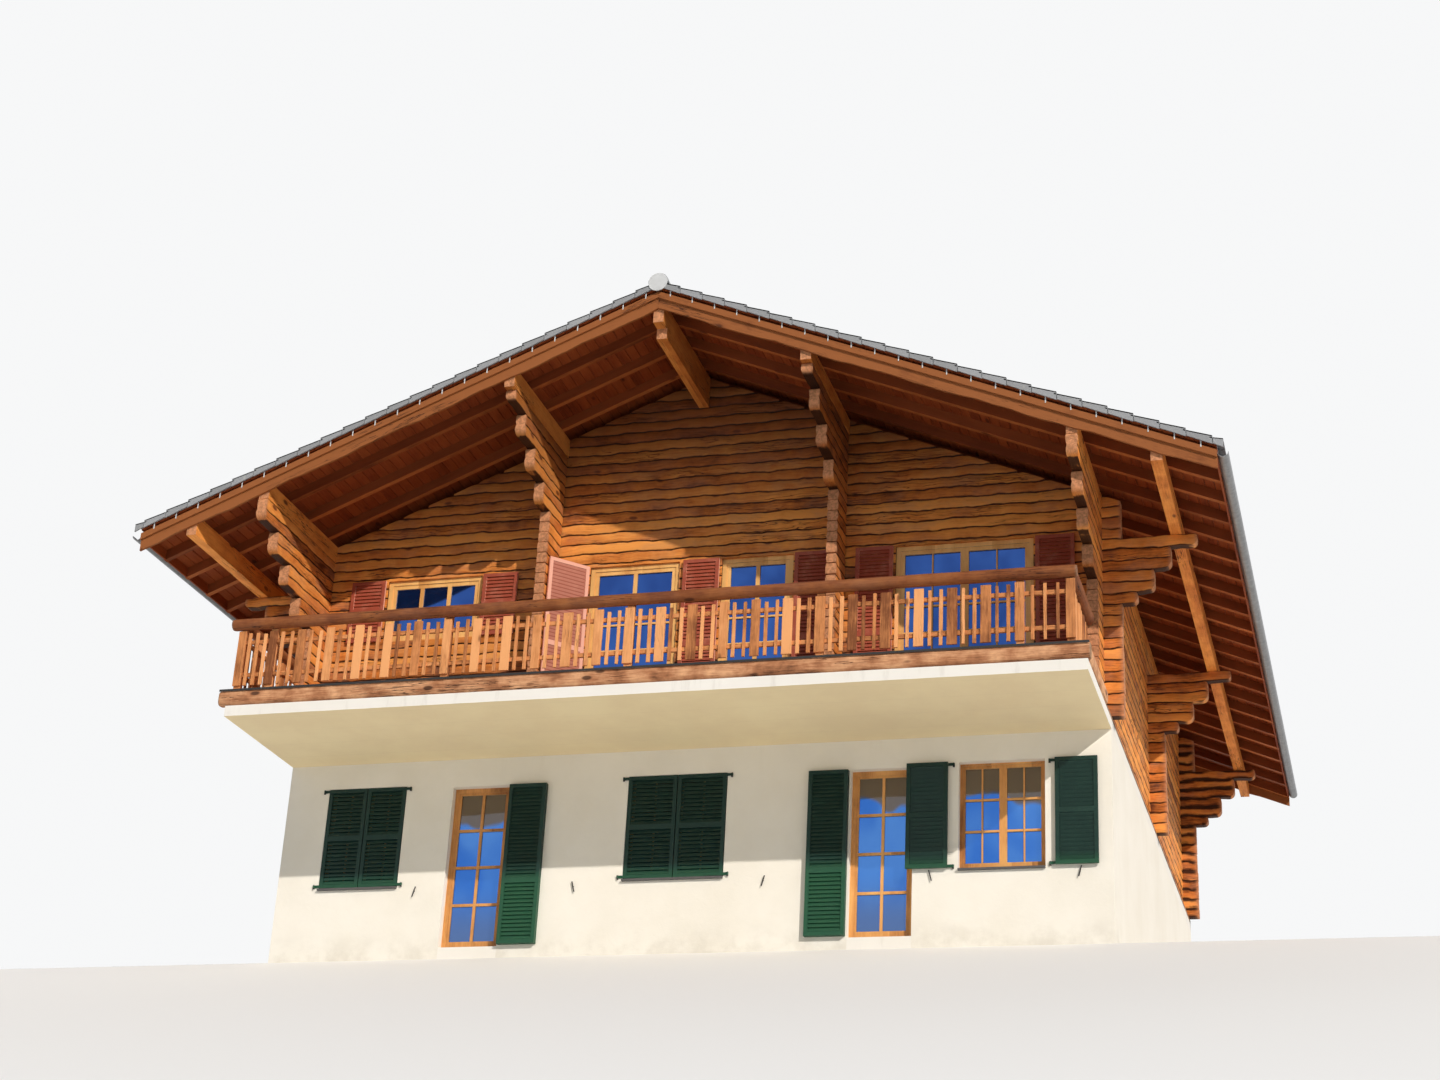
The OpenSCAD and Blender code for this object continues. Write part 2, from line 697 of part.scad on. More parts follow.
// Logs along X that reach out under the eave purlins, in steps from the top course down
corbel_first = 115;
corbel_step = 215;
module corbels(side) {
  for (j = [0:3]) {
    k1 = eave_courses - (j == 0 ? 0 : 2 * j - 1);
    k0 = j == 0 ? k1 - 1 : (j == 3 ? k1 - 1 : k1 - 2);
    tip = eave_x + 260 - (j > 0 ? corbel_first : 0) - j * corbel_step;
    step_end(side * tip, side * side_axis, k0, k1);
  }
}

module gable_outline() {
  end_x = side_axis + log_end;
  polygon([[-end_x, log_z], [end_x, log_z], [end_x, under_roof(end_x)], [0, under_roof(0)],
           [-end_x, under_roof(end_x)]]);
}

module purlin_notches() {
  for (p = [[0, ridge_courses], [inner_x, mid_courses], [side_axis, side_courses]], side = [-1, 1])
    translate([side * p[0] - purlin_w / 2, log_z + p[1] * log_h]) square([purlin_w, rafter_ridge_z]);
}

module cross_log_wall(axis) difference() {
  intersection() {
    along_x(-eave_x - 600, eave_x + 600) log_stack(axis, 0, all_courses);
    along_y(axis - log_t, axis + log_t) difference() {
      union() {
        gable_outline();
        for (side = [-1, 1]) corbels(side);
      }
      for (side = [-1, 1]) notches(side * side_axis, 1, side_courses);
      for (side = [-1, 1]) notches(side * inner_x, 1, mid_courses);
      purlin_notches();
      children();
    }
  }
}

module front_log_wall() color(timber) cross_log_wall(front_axis)
  for (i = [0:len(upper_x) - 1]) opening(upper_x[i], upper_w[i], upper_z0[i], upper_z1);

module rear_log_wall() color(timber) cross_log_wall(rear_axis)
  for (x = rear_x) opening(x, rear_w, log_z + rear_sill, upper_z1);

// Steps of a console from its top course down, from tip y back to the straight log ends
module console_steps(tip, back, top, singles, step) {
  dir = sign(back - tip);
  count = floor(abs(back - tip) / step);
  for (j = [0:count]) {
    k1 = top - (j == 0 ? 0 : singles + 2 * (j - 1));
    k0 = j == 0 ? top - singles : k1 - 2;
    step_end(tip + dir * j * step, back + dir * 2 * step_r, k0, k1);
  }
}
console_step = 420;
purlin_set = 120;
console_past = 20;
inner_set = 80;
purlin_y0 = roof_y0 + purlin_set;
purlin_y1 = roof_y1 - purlin_set;
rear_end_y = rear_axis + log_end;

module side_log_wall(side) color(timber) intersection() {
  along_y(purlin_y0 - 300, purlin_y1 + 300) log_stack(side * side_axis, 0, side_courses);
  along_x(side * side_axis - log_t, side * side_axis + log_t) difference() {
    union() {
      translate([log_end_y, log_z]) square([rear_end_y - log_end_y, side_courses * log_h]);
      console_steps(purlin_y0 - console_past, log_end_y, side_courses, 2, console_step);
      console_steps(purlin_y1 - console_past, rear_end_y, side_courses, 2, console_step);
    }
    for (axis = [front_axis, rear_axis, cross_axis]) notches(axis, 0, side_courses);
  }
}
module left_log_wall() side_log_wall(-1);
module right_log_wall() side_log_wall(1);

module cross_wall_ends() color(timber) for (side = [-1, 1]) intersection() {
  along_x(min(side * eave_x * 1.1, 0), max(side * eave_x * 1.1, 0))
    log_stack(cross_axis, 0, eave_courses);
  along_y(cross_axis - log_t, cross_axis + log_t) difference() {
    union() {
      x0 = side_axis - log_t / 2;
      x1 = side_axis + log_end;
      translate([side > 0 ? x0 : -x1, log_z]) square([x1 - x0, eave_courses * log_h]);
      corbels(side);
    }
    translate([side > 0 ? 0 : -side_axis + log_t / 2, log_z])
      square([side_axis - log_t / 2, eave_courses * log_h]);
    notches(side * side_axis, 1, eave_courses);
  }
}

// Ends of the inner walls' logs: every second one runs on through the gable wall
module inner_console(x, axis, end_y, tip) {
  dir = sign(axis - end_y);
  intersection() {
    along_y(min(tip, axis) - 300, max(tip, axis) + 300) log_stack(x, 0, mid_courses);
    along_x(x - log_t, x + log_t) difference() {
      union() {
        translate([min(end_y, axis + dir * log_t / 2), log_z])
          square([abs(axis + dir * log_t / 2 - end_y), mid_courses * log_h]);
        console_steps(tip, end_y, mid_courses, 1, console_step);
      }
      for (k = [0:2:mid_courses - 1])
        translate([axis - log_t / 2, log_z + k * log_h]) square([log_t, log_h]);
    }
  }
}
module front_consoles() color(timber)
  for (side = [-1, 1]) inner_console(side * inner_x, front_axis, log_end_y, purlin_y0 + inner_set);
module rear_consoles() color(timber)
  for (side = [-1, 1]) inner_console(side * inner_x, rear_axis, rear_end_y, purlin_y1 - inner_set);

upper_back = log_inset - log_t / 2 + 40;
module upper_window_frames() color(pine) {
  for (i = [0:len(upper_x) - 1]) at_front(upper_x[i], upper_w[i], upper_z0[i], upper_back)
    casement(upper_w[i], upper_z1 - upper_z0[i], upper_leaves[i], upper_joinery(upper_meet[i]));
  for (x = rear_x) at_rear(x, rear_w, log_z + rear_sill, upper_back)
    casement(rear_w, head_h - rear_sill, 2, upper_joinery(meet_w));
}
module upper_glass() color(glass_blue) {
  for (i = [0:len(upper_x) - 1]) at_front(upper_x[i], upper_w[i], upper_z0[i], upper_back)
    panes(upper_w[i], upper_z1 - upper_z0[i], upper_leaves[i], upper_joinery(upper_meet[i]));
  for (x = rear_x) at_rear(x, rear_w, log_z + rear_sill, upper_back)
    panes(rear_w, head_h - rear_sill, 2, upper_joinery(meet_w));
}

// Upper shutters stand open: flat on the logs, but one is half open against a console
upper_face = front_axis - log_t / 2;
beside = 30;
half_angle = 47;
module flat_leaf(i, side) {
  edge = upper_sides[i][side > 0 ? 1 : 0] + side * beside;
  translate([side > 0 ? edge : edge - upper_leaf_w, upper_face - shutter_t, upper_z0[i]])
    louvred(upper_leaf_w, upper_z1 - upper_z0[i]);
}
module upper_shutters() color(red_brown) {
  for (i = [0, 2, 3], side = [-1, 1]) flat_leaf(i, side);
  translate([upper_sides[1][0] - beside, upper_face, upper_z0[1]])
    rotate([0, 0, 180 + half_angle]) louvred(half_leaf_w, upper_z1 - upper_z0[1]);
}

// Roof

module purlin(x, k, y0, y1) along_y(y0, y1) intersection() {
  translate([x - purlin_w / 2, log_z + k * log_h]) square([purlin_w, 1000]);
  polygon([[-roof_half, 0], [roof_half, 0], [roof_half, under_roof(roof_half)], [0, under_roof(0)],
           [-roof_half, under_roof(roof_half)]]);
}
ridge_set = 180;
module ridge_purlin() color(timber) {
  purlin(0, ridge_courses + 1, purlin_y0, purlin_y1);
  along_y(purlin_y0 + ridge_set, purlin_y1 - ridge_set)
    translate([-purlin_w / 2, log_z + ridge_courses * log_h]) square([purlin_w, log_h]);
}
module mid_purlins() color(timber)
  for (side = [-1, 1]) purlin(side * inner_x, mid_courses, purlin_y0, purlin_y1);
module wall_purlins() color(timber)
  for (side = [-1, 1]) purlin(side * side_axis, side_courses, purlin_y0, purlin_y1);
module eave_purlins() color(timber)
  for (side = [-1, 1]) purlin(side * eave_x, eave_courses, purlin_y0, purlin_y1);

// A strip between two heights above the rafters' underside, from the ridge out to x1
module roof_strip(side, z0, z1, x1) polygon([
  [0, z0], [side * x1, z0 - slope * x1], [side * x1, z1 - slope * x1], [0, z1]
]);

rafter_count = round((frame_y1 - frame_y0 - rafter_w) / rafter_pitch);
module rafters(side) color(timber)
  for (i = [0:rafter_count]) {
    y = frame_y0 + i * (frame_y1 - frame_y0 - rafter_w) / rafter_count;
    along_y(y, y + rafter_w) roof_strip(side, rafter_ridge_z, board_z, tail_x);
  }
module rafters_left() rafters(-1);
module rafters_right() rafters(1);

module roof_boards(side) color(dark_timber)
  along_y(upper_verge_y, -upper_verge_y) roof_strip(side, board_z, cover_z, tail_x);
module roof_boards_left() roof_boards(-1);
module roof_boards_right() roof_boards(1);

// Saw-toothed section: each course is thickest at its lower edge
courses = ceil(roof_half / course_w);
module tiles(side) color(tile_grey) along_y(tiles_y0, tiles_y1) polygon(concat(
  [[0, cover_z], [side * roof_half, cover_z - slope * roof_half]],
  [for (i = [courses - 1:-1:0]) let (lo = min((i + 1) * course_w, roof_half), hi = i * course_w)
    each [[side * lo, tile_z - slope * lo], [side * hi, tile_z - course_step - slope * hi]]]
));
module tiles_left() tiles(-1);
module tiles_right() tiles(1);

ridge_tile_l = 400;
ridge_wall = 12;
collar_l = 60;
collar_t = 7;
ridge_z = tile_z - slope * ridge_r;
module half_ring(r_out, r_in, y0, y1) along_y(y0, y1) translate([0, ridge_z]) difference() {
  circle(r_out);
  circle(r_in);
  translate([-2 * r_out, -2 * r_out]) square([4 * r_out, 2 * r_out]);
}
module ridge_tiles() color(tile_grey) {
  half_ring(ridge_r, ridge_r - ridge_wall, tiles_y0, tiles_y1);
  count = floor((tiles_y1 - tiles_y0) / ridge_tile_l);
  for (i = [0:count - 1]) half_ring(ridge_r + collar_t, ridge_r - ridge_wall,
    tiles_y0 + i * ridge_tile_l, tiles_y0 + i * ridge_tile_l + collar_l);
}
module ridge_caps() color("white")
  for (y = [[roof_y0, tiles_y0], [tiles_y1, roof_y1]]) along_y(y[0], y[1])
    translate([0, ridge_z]) circle(ridge_r);

// Verge: a straight board over a board whose lower edge keeps the tree's wavy line
verge_drop = 170;
upper_verge_h = 90;
mitre = 1;
function wave(x) = 11 * sin(x * 0.27) + 7 * sin(x * 0.71 + 40);
module verge_board(side) {
  z0 = tile_z - verge_drop;
  translate([side * mitre, 0]) roof_strip(side, z0 - upper_verge_h, z0, tail_x - mitre);
}
module live_edge_board(side) {
  z0 = tile_z - verge_drop - 20;
  step = 200;
  n = ceil(tail_x / step);
  polygon(concat(
    [[side * mitre, z0], [side * tail_x, z0 - slope * tail_x]],
    [for (i = [n:-1:0]) let (x = max(mitre, min(tail_x, i * step)))
      [side * x, z0 - slope * x - verge_h + wave(side * x)]]
  ));
}
module verge_boards_front() color(dark_timber) for (side = [-1, 1]) {
  along_y(upper_verge_y, lower_verge_y) verge_board(side);
  along_y(lower_verge_y, frame_y0) live_edge_board(side);
}
module verge_boards_rear() mirror([0, 1, 0]) verge_boards_front();

gutter_t = 4;
gutter_z = cover_z - slope * roof_half - 12;
module gutters() color("silver") for (side = [-1, 1]) along_y(tiles_y0 + 60, tiles_y1 - 60)
  translate([side * (tail_x + gutter_r + gutter_t), gutter_z - 40]) difference() {
    circle(gutter_r + gutter_t);
    circle(gutter_r);
    translate([-2 * gutter_r, 0]) square([4 * gutter_r, 2 * gutter_r]);
  }

ground_floor();
front_wall_left();
front_wall_middle();
front_wall_right();
lintel_left();
lintel_right();
left_wall();
right_wall();
rear_wall();
window_sills();
ground_window_frames();
ground_glass();
door_frames();
door_left();
door_left_glass();
door_right();
door_right_glass();
shutter_1_left();
shutter_1_right();
shutter_2_left();
shutter_2_right();
shutter_3_left();
shutter_3_right();
shutter_pintles();
door_shutters();
balcony_slab();
deck();
edge_logs();
front_log_wall();
rear_log_wall();
left_log_wall();
right_log_wall();
cross_wall_ends();
front_consoles();
rear_consoles();
upper_window_frames();
upper_glass();
upper_shutters();
ridge_purlin();
mid_purlins();
wall_purlins();
eave_purlins();
rafters_left();
rafters_right();
roof_boards_left();
roof_boards_right();
tiles_left();
tiles_right();
ridge_tiles();
ridge_caps();
verge_boards_front();
verge_boards_rear();
gutters();
handrail();
balustrade_posts();
balustrade_boards();
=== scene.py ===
"""Looks of the alpine chalet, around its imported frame: a finish for every node, and the pieces
that the frame leaves to this script, such as hewn logs, tiles, boards and glazing bars.
Metres, +Z up, the front faces -Y. Colours are linear."""
import math

import bpy
import numpy as np
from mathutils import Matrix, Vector


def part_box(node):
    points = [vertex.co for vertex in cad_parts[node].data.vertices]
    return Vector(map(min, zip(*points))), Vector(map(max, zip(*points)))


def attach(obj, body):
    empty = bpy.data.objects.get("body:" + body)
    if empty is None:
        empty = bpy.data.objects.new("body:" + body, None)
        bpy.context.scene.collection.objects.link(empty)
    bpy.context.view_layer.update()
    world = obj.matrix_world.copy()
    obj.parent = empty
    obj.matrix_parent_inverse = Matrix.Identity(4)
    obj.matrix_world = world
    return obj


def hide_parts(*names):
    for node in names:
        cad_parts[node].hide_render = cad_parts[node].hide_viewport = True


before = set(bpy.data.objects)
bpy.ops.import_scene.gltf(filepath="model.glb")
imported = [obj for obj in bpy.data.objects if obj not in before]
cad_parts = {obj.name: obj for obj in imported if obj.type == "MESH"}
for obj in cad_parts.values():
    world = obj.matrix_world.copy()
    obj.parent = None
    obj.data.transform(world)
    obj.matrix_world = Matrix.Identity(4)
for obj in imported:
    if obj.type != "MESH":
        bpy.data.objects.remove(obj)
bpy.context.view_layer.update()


def middle_y(node):
    """The middle of a node along the house's depth."""
    return sum(corner.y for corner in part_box(node)) / 2


# Driving sizes, read from the frame where a node shows them
LOG_H = 0.150
LOG_HALF = 0.080
GROOVE_HALF = 0.060
PURLIN_HALF = 0.070
RAFTER_H = 0.140
ROOF_BOARD_T = 0.025
COVER_T = 0.105
ROOF_CLEAR = 0.004
PITCH = math.radians(22.5)
SLOPE = math.tan(PITCH)
LOG_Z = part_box("front_log_wall")[0].z
ROOF_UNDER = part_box("rafters_left")[1].z - RAFTER_H
BOARD_Z = ROOF_UNDER + RAFTER_H
COVER_Z = BOARD_Z + ROOF_BOARD_T
TILE_Z = COVER_Z + COVER_T
FRONT_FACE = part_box("front_wall_left")[0].y
REAR_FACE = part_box("rear_wall")[1].y
FRONT_AXIS = middle_y("front_log_wall")
REAR_AXIS = middle_y("rear_log_wall")
CROSS_AXIS = middle_y("cross_wall_ends")
SIDE_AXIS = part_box("wall_purlins")[1].x - PURLIN_HALF
INNER_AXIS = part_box("mid_purlins")[1].x - PURLIN_HALF
EAVE_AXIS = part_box("eave_purlins")[1].x - PURLIN_HALF
ROOF_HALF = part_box("tiles_right")[1].x
TILE_Y0, TILE_Y1 = (corner.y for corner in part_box("tiles_left"))
TAIL_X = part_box("rafters_right")[1].x


def courses_up_to(node):
    """The log courses below a purlin node, from the height of its underside."""
    return round((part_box(node)[0].z - LOG_Z) / LOG_H)


SIDE_COURSES = courses_up_to("wall_purlins")
MID_COURSES = courses_up_to("mid_purlins")
EAVE_COURSES = courses_up_to("eave_purlins")
ALL_COURSES = math.ceil((ROOF_UNDER - LOG_Z) / LOG_H)


# Shader maths

class Val:
    """A socket of a node tree. Arithmetic on it adds Math nodes."""

    def __init__(self, tree, socket):
        self.tree, self.socket = tree, socket

    def math(self, operation, *terms):
        return self.tree.node("ShaderNodeMath", {"operation": operation}, dict(enumerate(terms)))

    def __add__(self, other):
        return self.math("ADD", self, other)

    def __radd__(self, other):
        return self.math("ADD", other, self)

    def __sub__(self, other):
        return self.math("SUBTRACT", self, other)

    def __rsub__(self, other):
        return self.math("SUBTRACT", other, self)

    def __mul__(self, other):
        return self.math("MULTIPLY", self, other)

    def __rmul__(self, other):
        return self.math("MULTIPLY", other, self)

    def __truediv__(self, other):
        return self.math("DIVIDE", self, other)

    def __rtruediv__(self, other):
        return self.math("DIVIDE", other, self)

    def size(self):
        """The value without its sign."""
        return self.math("ABSOLUTE", self)

    def whole(self):
        """The whole number below the value."""
        return self.math("FLOOR", self)

    def rest(self):
        """What is left over the whole number below the value."""
        return self.math("FRACT", self)

    def root(self):
        return self.math("SQRT", self)

    def rise(self, low, high):
        """0 below low and 1 above high, smooth between them. With low above high it falls."""
        if low > high:
            return 1 - self.rise(high, low)
        limits = {"Value": self, "From Min": low, "From Max": high}
        return self.tree.node("ShaderNodeMapRange", {"interpolation_type": "SMOOTHSTEP"}, limits)

    def out(self, name):
        """Another output of the same node."""
        return Val(self.tree, self.socket.node.outputs[name])

    def parts(self):
        """The three parts of a vector."""
        split = self.tree.node("ShaderNodeSeparateXYZ", {}, {0: self})
        return split, split.out("Y"), split.out("Z")


class Tree:
    """The nodes of one material or of the world."""

    def __init__(self, owner):
        owner.use_nodes = True
        self.nodes, self.links = owner.node_tree.nodes, owner.node_tree.links
        self.nodes.clear()

    def put(self, socket, value):
        """Links a value to a socket, or writes a number or colour on it."""
        if isinstance(value, Val):
            self.links.new(value.socket, socket)
        elif isinstance(value, tuple) and socket.type == "RGBA":
            socket.default_value = (*value, 1)
        else:
            socket.default_value = value

    def node(self, kind, settings, inputs, out=0):
        """Adds a node: its settings first, then the values or links of its sockets."""
        made = self.nodes.new(kind)
        for name, value in settings.items():
            if name == "stops":
                self.set_stops(made.color_ramp, value)
            else:
                setattr(made, name, value)
        for socket, value in inputs.items():
            self.put(made.inputs[socket], value)
        return Val(self, made.outputs[out]) if made.outputs else made

    @staticmethod
    def set_stops(ramp, stops):
        while len(ramp.elements) < len(stops):
            ramp.elements.new(0.5)
        for element, (place, colour) in zip(ramp.elements, stops):
            element.position = place
            element.color = (*colour, 1)


class Finish(Tree):
    """One material: a Principled shader, the nodes that feed it, and constants on its sockets."""

    def __init__(self, name, **constants):
        self.material = bpy.data.materials.new(name)
        super().__init__(self.material)
        self.shader = self.node("ShaderNodeBsdfPrincipled", {}, {})
        self.end = self.node("ShaderNodeOutputMaterial", {}, {"Surface": self.shader})
        self.feed(**constants)

    def feed(self, **values):
        """Feeds the shader's sockets, named with _ for a space."""
        for name, value in values.items():
            self.put(self.shader.socket.node.inputs[name.replace("_", " ")], value)
        return self.material

    def place(self):
        """Object coordinates."""
        return self.node("ShaderNodeTexCoord", {}, {}, "Object")

    def attribute(self, name):
        return self.node("ShaderNodeAttribute", {"attribute_name": name}, {}, "Vector")

    def join(self, x, y, z):
        return self.node("ShaderNodeCombineXYZ", {}, {0: x, 1: y, 2: z})

    def noise(self, at, scale, detail=2.0, rough=0.5, bend=0.0, w=None):
        """Cloud noise from 0 to 1, in four dimensions where w is given."""
        values = {"Vector": at, "Scale": scale, "Detail": detail, "Roughness": rough, "Distortion": bend}
        if w is not None:
            values["W"] = w
        return self.node("ShaderNodeTexNoise", {"noise_dimensions": "3D" if w is None else "4D"}, values)

    def cells(self, at, scale, out="Distance"):
        return self.node("ShaderNodeTexVoronoi", {"feature": "F1"}, {"Vector": at, "Scale": scale}, out)

    def chance(self, x, y, z):
        """A random number from 0 to 1 for each different place."""
        return self.node("ShaderNodeTexWhiteNoise", {}, {"Vector": self.join(x, y, z)})

    def mix(self, share, first, second):
        """Colours mixed by share."""
        return self.node("ShaderNodeMix", {"data_type": "RGBA"}, {0: share, 6: first, 7: second}, 2)

    def shade(self, colour, factor):
        """A colour made darker or lighter by a factor that changes over the surface."""
        return self.node("ShaderNodeVectorMath", {"operation": "SCALE"}, {0: colour, "Scale": factor})

    def ramp(self, value, *stops):
        return self.node("ShaderNodeValToRGB", {"stops": stops}, {0: value})

    def bump(self, height, reach, strength=1.0):
        """Bump whose height of 1 stands reach metres proud."""
        values = {"Height": height, "Distance": reach, "Strength": strength}
        return self.node("ShaderNodeBump", {}, values, "Normal")

    def facing(self):
        """The surface's own direction, without bump."""
        return self.node("ShaderNodeNewGeometry", {}, {}, "True Normal").parts()


# Finishes

def timber_space(f, way):
    """Place along, across and up a timber, its tone, and its nearness to an end and to a joint.
    way is "own" where the piece keeps them itself, or y, z or slope for a frame node."""
    if way == "own":
        return *f.attribute("grain").parts(), *f.attribute("marks").parts()
    x, y, z = f.place().parts()
    _, ny, nz = f.facing()
    if way == "y":
        return y, x, z, f.chance((x * 2).whole(), 0.5, (z * 2).whole()), ny.size().rise(0.8, 0.95), 0.0
    if way == "z":
        return z, x, y, f.chance((x * 4).whole(), (y * 4).whole(), 0.5), nz.size().rise(0.8, 0.95), 0.0
    run, fall = math.cos(PITCH), math.sin(PITCH)
    tone = f.chance(x.rise(-0.001, 0.001), (y / 0.3).whole(), 0.5)
    return x.size() * run - z * fall, y, x.size() * fall + z * run, tone, 0.0, 0.0


# Pale, deep, dark and end grain colour of each wood
WOODS = {
    "log": ((0.96, 0.385, 0.082), (0.66, 0.205, 0.038), (0.105, 0.025, 0.007), (0.68, 0.30, 0.14)),
    "edge": ((0.80, 0.440, 0.230), (0.42, 0.175, 0.078), (0.045, 0.017, 0.009), (0.42, 0.25, 0.14)),
    "hand": ((0.34, 0.120, 0.036), (0.20, 0.058, 0.018), (0.055, 0.016, 0.006), (0.30, 0.16, 0.09)),
    "verge": ((0.30, 0.100, 0.029), (0.155, 0.044, 0.013), (0.045, 0.012, 0.005), (0.42, 0.27, 0.17)),
    "rail": ((0.84, 0.390, 0.155), (0.60, 0.235, 0.080), (0.20, 0.065, 0.022), (0.60, 0.38, 0.22)),
    "soffit": ((0.31, 0.070, 0.016), (0.22, 0.042, 0.010), (0.095, 0.017, 0.005), (0.4, 0.22, 0.12)),
    "rafter": ((0.46, 0.140, 0.036), (0.32, 0.085, 0.020), (0.12, 0.028, 0.008), (0.50, 0.26, 0.13)),
    "pine": ((1.00, 0.660, 0.260), (0.95, 0.540, 0.180), (0.70, 0.33, 0.09), (0.8, 0.6, 0.35)),
    "honey": ((0.86, 0.460, 0.150), (0.66, 0.300, 0.090), (0.28, 0.105, 0.030), (0.60, 0.38, 0.18)),
    "deck": ((0.36, 0.23, 0.14), (0.26, 0.15, 0.085), (0.10, 0.055, 0.035), (0.35, 0.25, 0.17)),
}
# Painted shade for the rafters' upright faces, darker than their undersides
RAFTER_SIDE_SHADE = (0.185, 0.038, 0.010)
WEATHERED = (0.27, 0.20, 0.165)


def timber(name, way, wood, rough=0.62, knots=0.5, fibre=1.0, cracks=0.0, grey=0.0, relief=0.0016,
           tone_spread=0.5, painted_roof_shade=0.0, joint_dark=0.0, coat=0.0, hewn=0.0, patchy=0.25, side=None):
    """Wood: colours from pale to deep by slow bands and fine fibres along the grain, dark knots,
    drying cracks, weathered grey patches, and a paler end grain. Logs also have broad marks of
    the axe and a ragged dark line along their joints. side is a painted shade colour for the
    upright faces, and painted_roof_shade darkens the wood towards the roof with painted shade."""
    f = Finish(name, Coat_Roughness=0.25, Specular_IOR_Level=0.2)
    pale, deep, dark, end = WOODS[wood]
    along, across, up, tone, tip, joint = timber_space(f, way)
    shift = tone * 37.0

    def grain(length, width, *noise):
        """Noise drawn out along the grain, and different on each timber."""
        return f.noise(f.join(along * length, across * width, up * width), *noise, shift)

    bands = grain(0.35, 2.2, 1.6, 3.0, 0.55, 0.4)
    fibres = grain(1.6, 26.0, 2.6, 4.0, 0.65, 0.25)
    mottle = grain(0.8, 1.0, 4.5, 4.0, 0.6, 0.2)
    level = bands * (0.75 - patchy) + mottle * patchy + fibres * (0.34 * fibre)
    level = level + (tone - 0.5) * tone_spread - 0.05
    colour = f.ramp(level, (0.28, dark), (0.44, deep), (0.62, pale))
    height = fibres
    if knots:
        spread = f.join(along * 2.0 + shift, across * 4.6, up * 4.6)
        ring = f.cells(spread, 1.0)
        pick = f.cells(spread, 1.0, "Color").parts()[0].rise(1.0 - knots, 1.02 - knots)
        knot = ring.rise(0.17, 0.09) * pick
        colour = f.mix(ring.rise(0.34, 0.12) * pick * 0.35, colour, deep)
        colour = f.mix(knot * 0.85, colour, dark)
        height = height - knot * 0.5
    if cracks:
        torn = (grain(0.9, 17.0, 2.0, 2.0, 0.5, 0.6) - 0.5).size()
        crack = torn.rise(0.022, 0.006) * grain(0.35, 2.2, 2.3, 2.0, 0.5, 0.0).rise(0.5, 0.62)
        colour = f.mix(crack * cracks, colour, dark)
        height = height - crack * 1.6
    if grey:
        patch = grain(1.0, 2.0, 1.7, 4.0, 0.62, 0.3).rise(0.42, 0.68)
        colour = f.mix(patch * grey, colour, WEATHERED)
    # Painted shade: upright faces take the darker side colour.
    if side:
        colour = f.mix(f.facing()[2].size().rise(0.8, 0.5) * 0.85, colour, f.shade(side, bands + 0.5))
    # Painted shade: the wood darkens with height towards the roof, as under the overhang.
    if painted_roof_shade:
        colour = f.mix(f.place().parts()[2].rise(5.2, 7.8) * painted_roof_shade, colour, dark)
    if hewn:
        height = height + grain(2.6, 8.0, 1.0, 1.0, 0.4, 0.3) * hewn
    if joint_dark:
        ragged = grain(5.0, 20.0, 1.0, 3.0, 0.6, 0.3)
        line = (joint + (ragged - 0.5) * 1.1).rise(0.25, 0.75)
        colour = f.mix(line * joint_dark, colour, tuple(c * 0.22 for c in dark))
    rings = grain(0.2, 3.0, 9.0, 3.0, 0.6, 0.2).rise(0.35, 0.65)
    colour = f.mix(tip, colour, f.mix(rings, end, tuple(c * 0.62 for c in end)))
    gloss = (1 - fibres) * 0.22 + rough - 0.1
    return f.feed(Base_Color=colour, Roughness=gloss, Coat_Weight=coat, Normal=f.bump(height, relief))


def render_finish(name):
    """Painted render: warm white, faint trowel marks, a little soiled above the ground."""
    f = Finish(name)
    at = f.place()
    x, y, z = at.parts()
    cloud = f.noise(at, 0.9, 5.0, 0.6)
    grain = f.noise(at, 55.0, 4.0, 0.7)
    trowel = f.noise(at, 7.0, 3.0, 0.55, 0.5)
    colour = f.mix(cloud.rise(0.3, 0.75), (0.885, 0.850, 0.760), (0.830, 0.790, 0.690))
    foot = z.rise(0.45, 0.0) * f.noise(at, 2.6, 5.0, 0.65).rise(0.35, 0.7)
    colour = f.mix(foot * 0.40, colour, (0.52, 0.47, 0.38))
    drip = f.noise(f.join(x * 5.0, y * 5.0, z * 0.5), 1.0, 4.0, 0.6).rise(0.58, 0.8) * z.rise(2.0, 2.68)
    colour = f.mix(drip * 0.18, colour, (0.60, 0.55, 0.44))
    bump = f.bump(grain * 0.5 + trowel, 0.004, 0.7)
    return f.feed(Base_Color=colour, Roughness=grain * 0.1 + 0.84, Normal=bump)


def slab_finish(name):
    """The balcony slab and the floors: white painted edges, a beige underside with board marks."""
    f = Finish(name)
    at = f.place()
    x, y, z = at.parts()
    down = (0 - f.facing()[2]).rise(0.5, 0.9)
    cloud = f.noise(at, 1.3, 5.0, 0.6)
    edge = f.mix(cloud, (0.90, 0.88, 0.82), (0.80, 0.76, 0.68))
    streak = f.noise(f.join(x * 3.0, y, z * 0.6), 2.4, 4.0, 0.6).rise(0.55, 0.75)
    edge = f.mix(streak * 0.22, edge, (0.42, 0.38, 0.31))
    seam = ((y / 0.5 + 0.5).rest() - 0.5).size().rise(0.488, 0.498)
    below = f.mix(cloud.rise(0.3, 0.7), (0.88, 0.74, 0.46), (0.83, 0.68, 0.42))
    below = f.mix(seam * 0.12, below, (0.40, 0.31, 0.19))
    rough = f.noise(at, 60.0, 3.0, 0.6)
    colour = f.mix(down, edge, below)
    return f.feed(Base_Color=colour, Roughness=rough * 0.12 + 0.8, Normal=f.bump(rough, 0.002, 0.6))


def stone_finish(name):
    """Honed slate of the window sills."""
    f = Finish(name)
    grain = f.noise(f.place(), 30.0, 5.0, 0.65)
    colour = f.mix(grain, (0.055, 0.052, 0.052), (0.115, 0.11, 0.105))
    return f.feed(Base_Color=colour, Roughness=grain * 0.25 + 0.4, Normal=f.bump(grain, 0.0008))


